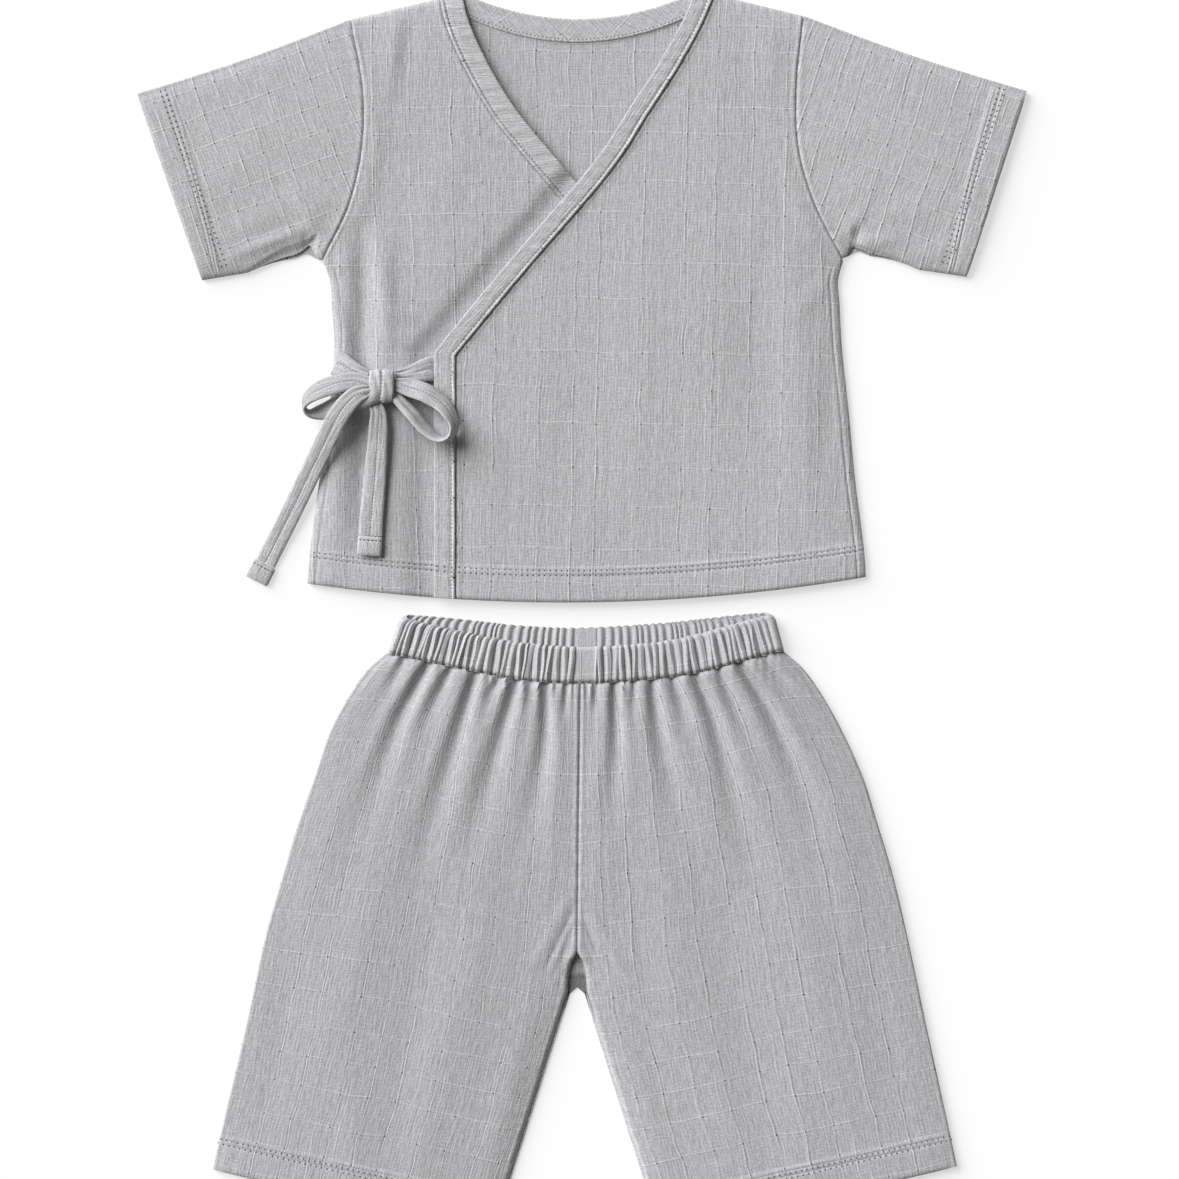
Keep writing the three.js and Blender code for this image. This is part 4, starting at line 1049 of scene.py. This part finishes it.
def waistband():
    front_stops, back_stops = crowded(FRONT_GATHERS, 3, 1.0), crowded(BACK_GATHERS, 9, 0.9)
    run = spread(560, 0.2)
    phase = np.interp(run, front_stops, np.arange(FRONT_GATHERS + 1))
    front_wave = 2 * np.abs(np.cos(np.pi * phase)) ** 0.75 - 1
    fine_wave = 0.13 * np.cos(6 * np.pi * phase + 1.3 * np.sin(phase))
    front_size = 0.6 + 0.6 * np.sin(np.floor(phase + 0.5) * 2.4) ** 2
    back_phase = np.interp(run, back_stops, np.arange(BACK_GATHERS + 1))
    back_wave = np.cos(2 * np.pi * back_phase)
    around = np.linspace(0, np.pi, 13)[1:-1]

    def loop(depth):
        """One level of the band: front from left to right, right end, back, left end."""
        up = 1 - depth
        corner = BAND_CORNER * (1 - math.sqrt(1 - min(max(up - 0.82, 0) / 0.18, 1) ** 2))
        from_x = BAND_ENDS[0] + BAND_ROUND + BAND_LEAN * up + corner
        to_x = BAND_ENDS[1] - BAND_ROUND - 0.8 * BAND_LEAN * up - corner
        x = from_x + (to_x - from_x) * run
        plain = ease(np.abs(x - BAND_PLAIN), 6.0, 4.2)
        swell = 0.7 + 0.3 * np.sin(np.pi * depth)
        seam = ease(depth, 0.88, 1.0)
        fat = (1.15 * swell * front_size * front_wave + fine_wave) * (1 - plain)
        edge = 0.35 * front_wave * (1 - plain) * near(depth, 0.1)
        y = band_at["front_top"](x) * up + (band_at["front_low"](x) + 0.3) * depth + edge
        joint = 0.4 * near(x - BAND_PLAIN + 5, 0.6)
        z = BAND_MID + 0.1 + fat - 1.5 * seam - 0.9 * ease(depth, 0.05, 0) - joint
        sway = 0.5 * np.sin(3.1 * depth + np.floor(phase + 0.5) * 1.9) * (1 - plain)
        front = np.stack([x + sway * ease(run, 0, 0.02) * ease(run, 1, 0.98), y, z], -1)
        back_y = band_at["back_top"](x) * up + (band_at["back_top"](x) - BACK_DEEP + 0.3) * depth
        back_y = back_y + 0.3 * back_wave * near(depth, 0.1)
        back_fat = (0.5 + 0.5 * back_wave) * (1 - plain) + 0.5 * plain
        back_z = ON_FLOOR + 0.1 + 1.15 * swell * back_fat + 0.3 * near(x - BAND_PLAIN - 5, 0.6)
        back = np.stack([x, back_y, back_z], -1)[::-1]
        ends = []
        for first, last, outward in ((front[-1], back[0], 1), (back[-1], front[0], -1)):
            share = (1 - np.cos(around)) / 2
            turn = first + (last - first) * share[:, None]
            turn[:, 0] += outward * BAND_ROUND * np.sin(around)
            ends.append(turn)
        return np.concatenate([front, ends[0], back, ends[1]])

    depths = np.concatenate([
        [0, 0.015, 0.04, 0.08], np.linspace(0.14, 0.82, 13), [0.87, 0.9, 0.93, 0.96, 0.985, 1],
    ])
    levels = np.stack([loop(depth) for depth in depths])
    steps = np.linalg.norm(np.roll(levels, -1, 1) - levels, axis=2).mean(0)
    u = np.concatenate([[0], np.cumsum(steps)[:-1]]) * 1.5
    weave = np.stack([u + 0 * depths[:, None], -depths[:, None] * 19 + 0 * u], -1)
    made = shell("gathered_band", levels, weave, SHELL, waistband_cloth, ring=True)
    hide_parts("waistband")
    return made


waistband_cloth = cloth("slub_gauze_waistband", (0.415, 0.415, 0.425), 8, 0.6)
band = waistband()


# Stitches
# Cotton thread in the cloth's own grey, sunk between small needle holes that are dark with painted shade:
# two rows along each hem, and one along the bindings, below the waistband, down the ties and across their
# ends. One node tree sets a stitch along every row.

def plain_colour(name, tone):
    material = bpy.data.materials.new(name)
    material.use_nodes = True
    surface = material.node_tree.nodes["Principled BSDF"]
    surface.inputs["Base Color"].default_value = (*tone, 1)
    surface.inputs["Roughness"].default_value = 0.9
    surface.inputs["Specular IOR Level"].default_value = 0.1
    return material


def stitch_tree():
    tree = bpy.data.node_groups.new("row_of_stitches", "GeometryNodeTree")
    face = tree.interface
    face.new_socket("Geometry", in_out="INPUT", socket_type="NodeSocketGeometry")
    for name, usual in (
        ("Pitch", 0.0025), ("Stitch Length", 0.0015), ("Thread Radius", 0.0002), ("Hole Radius", 0.0004),
    ):
        socket = face.new_socket(name, in_out="INPUT", socket_type="NodeSocketFloat")
        socket.default_value = usual
    for name in ("Thread", "Hole"):
        face.new_socket(name, in_out="INPUT", socket_type="NodeSocketMaterial")
    face.new_socket("Geometry", in_out="OUTPUT", socket_type="NodeSocketGeometry")
    fill, put, calc = nodes_of(tree)
    given = tree.nodes.new("NodeGroupInput").outputs
    curves = put("GeometryNodeMeshToCurve", given["Geometry"])
    rows = put("GeometryNodeResampleCurve")
    kind = rows.inputs.get("Mode")
    if kind:
        kind.default_value = "Length"
    else:
        rows.mode = "LENGTH"
    fill(rows, {"Curve": curves.outputs["Curve"], "Length": given["Pitch"]})
    facing = put("GeometryNodeInputNamedAttribute", data_type="FLOAT_VECTOR", named={"Name": "facing"})
    tangent = put("GeometryNodeInputTangent")
    along = put("FunctionNodeAlignRotationToVector", axis="X", named={"Vector": tangent.outputs[0]})
    upright = put(
        "FunctionNodeAlignRotationToVector", axis="Z", pivot_axis="X",
        named={"Rotation": along.outputs[0], "Vector": facing.outputs[0]},
    )
    joined = put("GeometryNodeJoinGeometry")
    for part, size_x, size_y, share_x, share_z, shift, detail in (
        ("Thread", "Stitch Length", "Thread Radius", 0.5, 1.0, 0.0, 2),
        ("Hole", "Hole Radius", "Hole Radius", 1.0, 0.65, 0.5, 1),
    ):
        ball = put("GeometryNodeMeshIcoSphere", named={"Radius": 1.0, "Subdivisions": detail})
        long = calc("MULTIPLY", given[size_x], share_x)
        tall = calc("MULTIPLY", given[size_y], share_z)
        size = put("ShaderNodeCombineXYZ", long, given[size_y], tall)
        placed = put("GeometryNodeInstanceOnPoints", named={
            "Points": rows.outputs["Curve"],
            "Instance": ball.outputs["Mesh"],
            "Rotation": upright.outputs[0],
            "Scale": size.outputs[0],
        })
        step = put("ShaderNodeCombineXYZ", calc("MULTIPLY", given["Pitch"], shift), 0.0, 0.0)
        moved = put("GeometryNodeTranslateInstances", named={
            "Instances": placed.outputs["Instances"],
            "Translation": step.outputs[0],
        })
        real = put("GeometryNodeRealizeInstances", moved.outputs[0])
        dyed = put("GeometryNodeSetMaterial", real.outputs[0], named={"Material": given[part]})
        tree.links.new(dyed.outputs[0], joined.inputs[0])
    out = tree.nodes.new("NodeGroupOutput")
    tree.links.new(joined.outputs[0], out.inputs["Geometry"])
    return tree


row_of_stitches = stitch_tree()
thread_grey = plain_colour("thread", (0.45, 0.45, 0.46))
# The needle holes are dark with painted shade, where the thread pulls into the cloth.
hole_shade = plain_colour("needle_hole_shade", (0.16, 0.16, 0.165))


def laid(piece, x, y, above=True):
    """A row of points on a piece's surface, seen from above or from below, and which way it faces."""
    tree = BVHTree.FromPolygons(
        [vertex.co for vertex in piece.data.vertices], [list(face.vertices) for face in piece.data.polygons]
    )
    start, ahead = (0.05, (0, 0, -1)) if above else (-0.05, (0, 0, 1))
    row = []
    for px, py in zip(np.ravel(x) * MM, np.ravel(y) * MM):
        hit, normal, _, _ = tree.ray_cast((px, py, start), ahead)
        if hit is not None:
            row.append((*hit, *normal))
    return np.array(row)


def stitched(name, rows, pitch, length, thread=0.24, hole=0.55):
    """Stitches along rows of surface points, each point with its facing, in metres."""
    mesh = bpy.data.meshes.new(name)
    edges, first = [], 0
    for row in rows:
        edges += [(first + i, first + i + 1) for i in range(len(row) - 1)]
        first += len(row)
    points = np.concatenate(rows)
    mesh.from_pydata(points[:, :3] - points[:, 3:] * 0.05 * MM, edges, [])
    mesh.attributes.new("facing", "FLOAT_VECTOR", "POINT").data.foreach_set("vector", points[:, 3:].ravel())
    made = bpy.data.objects.new(name, mesh)
    bpy.context.collection.objects.link(made)
    step = made.modifiers.new("stitches", "NODES")
    step.node_group = row_of_stitches
    values = {
        "Pitch": pitch * MM, "Stitch Length": length * MM, "Thread Radius": thread * MM,
        "Hole Radius": hole * MM, "Thread": thread_grey, "Hole": hole_shade,
    }
    for item in row_of_stitches.interface.items_tree:
        if item.in_out == "INPUT" and item.name in values:
            step[item.identifier] = values[item.name]
    bpy.context.view_layer.update()
    ready = made.evaluated_get(bpy.context.evaluated_depsgraph_get())
    sewn_mesh = bpy.data.meshes.new_from_object(ready)
    made.modifiers.remove(step)
    made.data = sewn_mesh
    sewn_mesh.polygons.foreach_set("use_smooth", np.ones(len(sewn_mesh.polygons), bool))
    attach(made, "root")


# Each kind of stitch: how far apart, how long, and how thick its thread and its needle holes are.
HEM_STITCH = {"pitch": 2.8, "length": 1.3, "hole": 0.56}
BINDING_STITCH = {"pitch": 2.0, "length": 0.9, "thread": 0.13, "hole": 0.42}
TIE_STITCH = {"pitch": 1.6, "length": 0.7, "thread": 0.15, "hole": 0.42}


def beside(edge, low, high, inset):
    """Points along a front's edge or seam curve, moved sideways by an inset across it."""
    y = np.arange(low, high, 1.0)
    slope = np.gradient(edge(y), y)
    return edge(y) + inset * np.sqrt(1 + slope**2), y


inner_over = beside(over_seam, hem_line(-65) + 1, 305, -BAND_ROW)
inner_under = beside(under_seam, 88, 305, BAND_ROW)
binding_rows = [laid(over_band, *inner_over), laid(under_band, *inner_under)]
stitched("binding_stitches", binding_rows, **BINDING_STITCH)
u = np.linspace(0.02, 0.98, 200)
neck_x = (NECK_ENDS["seam"][0] + 1.2) * (1 - u) + (NECK_ENDS["seam"][1] - 1.2) * u
neck_rows = [laid(neck_band, neck_x, back_neck_seam(neck_x) + 1.9)]
stitched("neck_stitches", neck_rows, **BINDING_STITCH)

hem_rows = []
for deep in (HEM_DEEP, HEM_DEEP - STITCH_APART):
    for piece, start, end, above in (
        (under_front, -134, -75, True), (over_band, -72.5, -64.4, True), (over_front, -61.4, 138, True),
        (top_back, -134, 138, False),
    ):
        across_x = np.arange(start, end, 1.5)
        hem_rows.append(laid(piece, across_x, hem_line(across_x) + deep, above))
stitched("hem_stitches", hem_rows, **HEM_STITCH)

cuff_rows = []
for hand, piece in (("left", left_sleeve), ("right", right_sleeve)):
    top, bottom = np.array(SLEEVES[hand]["top"]), np.array(SLEEVES[hand]["bottom"])
    inward = np.array([bottom[1] - top[1], top[0] - bottom[0]]) * (-1 if hand == "left" else 1)
    inward = inward / np.linalg.norm(inward)
    share = np.linspace(0.03, 0.97, 90)[:, None]
    for deep in (CUFF_DEEP, CUFF_DEEP - STITCH_APART):
        for above in (True, False):
            line = top + (bottom - top) * share + inward * deep
            cuff_rows.append(laid(piece, line[:, 0], line[:, 1], above))
stitched("cuff_stitches", cuff_rows, **HEM_STITCH)

leg_rows = []
for hand, piece in (("left", left_leg), ("right", right_leg)):
    outer_x, outer_y, inner_x, inner_y = LEG_HEMS[hand]
    across_x = np.linspace(outer_x, inner_x, 110)
    for deep in (LEG_HEM_DEEP - 1.0, LEG_HEM_DEEP - 1.0 - STITCH_APART):
        for above in (True, False):
            line_y = outer_y + (inner_y - outer_y) * (across_x - outer_x) / (inner_x - outer_x)
            leg_rows.append(laid(piece, across_x, line_y + deep, above))
stitched("trouser_hem_stitches", leg_rows, **HEM_STITCH)


def strap_row(surface, start, end):
    """The stitched line down a strap's middle, taken from its outer face."""
    middle = surface.shape[1] // 2
    across = surface[:, middle + 1] - surface[:, middle - 1]
    facing = np.cross(across, np.gradient(surface[:, middle], axis=0))
    facing /= np.linalg.norm(facing, axis=1, keepdims=True)
    row = np.concatenate([surface[:, middle] * MM, facing], 1)
    return row[int(start * len(row)) : int(end * len(row))]


end_rows = []
for piece, line in ((left_end, tie_lines["left_tail"]), (right_end, tie_lines["right_tail"])):
    tip = np.array([line["x"][-1], line["y"][-1]])
    run = tip - np.array([line["x"][-2], line["y"][-2]])
    run = run / np.linalg.norm(run)
    across = np.linspace(-4.9, 4.9, 15)[:, None] * np.array([-run[1], run[0]])
    spots = tip + (END_ROW + 0.2) * run + across
    end_rows.append(laid(piece, spots[:, 0], spots[:, 1]))
stitched("tie_end_stitches", end_rows, 1.9, 0.8)
knot_y = np.linspace(105, 119, 24)
knot_rows = [laid(knot, cx + 0.15 - 0.06 * (cy - knot_y), knot_y)]
stitched("knot_stitches", knot_rows, **TIE_STITCH)
seam_x = np.linspace(-91, 95, 150)
seam_y = band_at["front_low"](seam_x) + 1.1
stitched("waist_seam_stitches", [laid(band, seam_x, seam_y)], 3.3, 1.2, hole=0.75)

tie_rows = [strap_row(ties[name], 0.06, 0.97) for name in ties if name != "front_tie"]
stitched("tie_stitches", tie_rows, **TIE_STITCH)


# The surface, the light and the camera
# A plain white surface lit from below as well, as a light table is, broad daylight from the upper
# left with a weak fill all round, and a camera that looks straight down through a long lens.

PHOTO_SIDE = 0.5895
LENS, SENSOR = 85.0, 36.0
CENTRE = (0.00375, 0.01125)

floor_mesh = bpy.data.meshes.new("surface")
floor_mesh.from_pydata([(-3, -3, 0), (3, -3, 0), (3, 3, 0), (-3, 3, 0)], [], [(0, 1, 2, 3)])
floor = bpy.data.objects.new("surface", floor_mesh)
floor.location.z = -0.0002
bpy.context.collection.objects.link(floor)
paper = plain_colour("white_surface", (0.36, 0.36, 0.36))
glow = paper.node_tree.nodes["Principled BSDF"].inputs
glow["Emission Color"].default_value = (1, 1, 1, 1)
glow["Emission Strength"].default_value = 0.59
floor_mesh.materials.append(paper)

world = bpy.data.worlds.new("room")
world.use_nodes = True
world.node_tree.nodes["Background"].inputs["Color"].default_value = (1, 1, 1, 1)
world.node_tree.nodes["Background"].inputs["Strength"].default_value = 0.17
bpy.context.scene.world = world

daylight = bpy.data.lights.new("daylight", "SUN")
daylight.energy = 5.83
daylight.angle = math.radians(52)
hung = bpy.data.objects.new("daylight", daylight)
hung.location = (-1.44, 1.08, 1.08)
hung.rotation_euler = (-hung.location).to_track_quat("-Z", "Y").to_euler()
bpy.context.collection.objects.link(hung)

lens = bpy.data.cameras.new("camera")
lens.lens = LENS
lens.sensor_width = SENSOR
lens.clip_start = 0.05
camera = bpy.data.objects.new("camera", lens)
camera.location = (CENTRE[0], CENTRE[1], PHOTO_SIDE * LENS / SENSOR + 0.003)
bpy.context.collection.objects.link(camera)
bpy.context.scene.camera = camera

view = bpy.context.scene.view_settings
view.view_transform = "Standard"
view.look = "None"
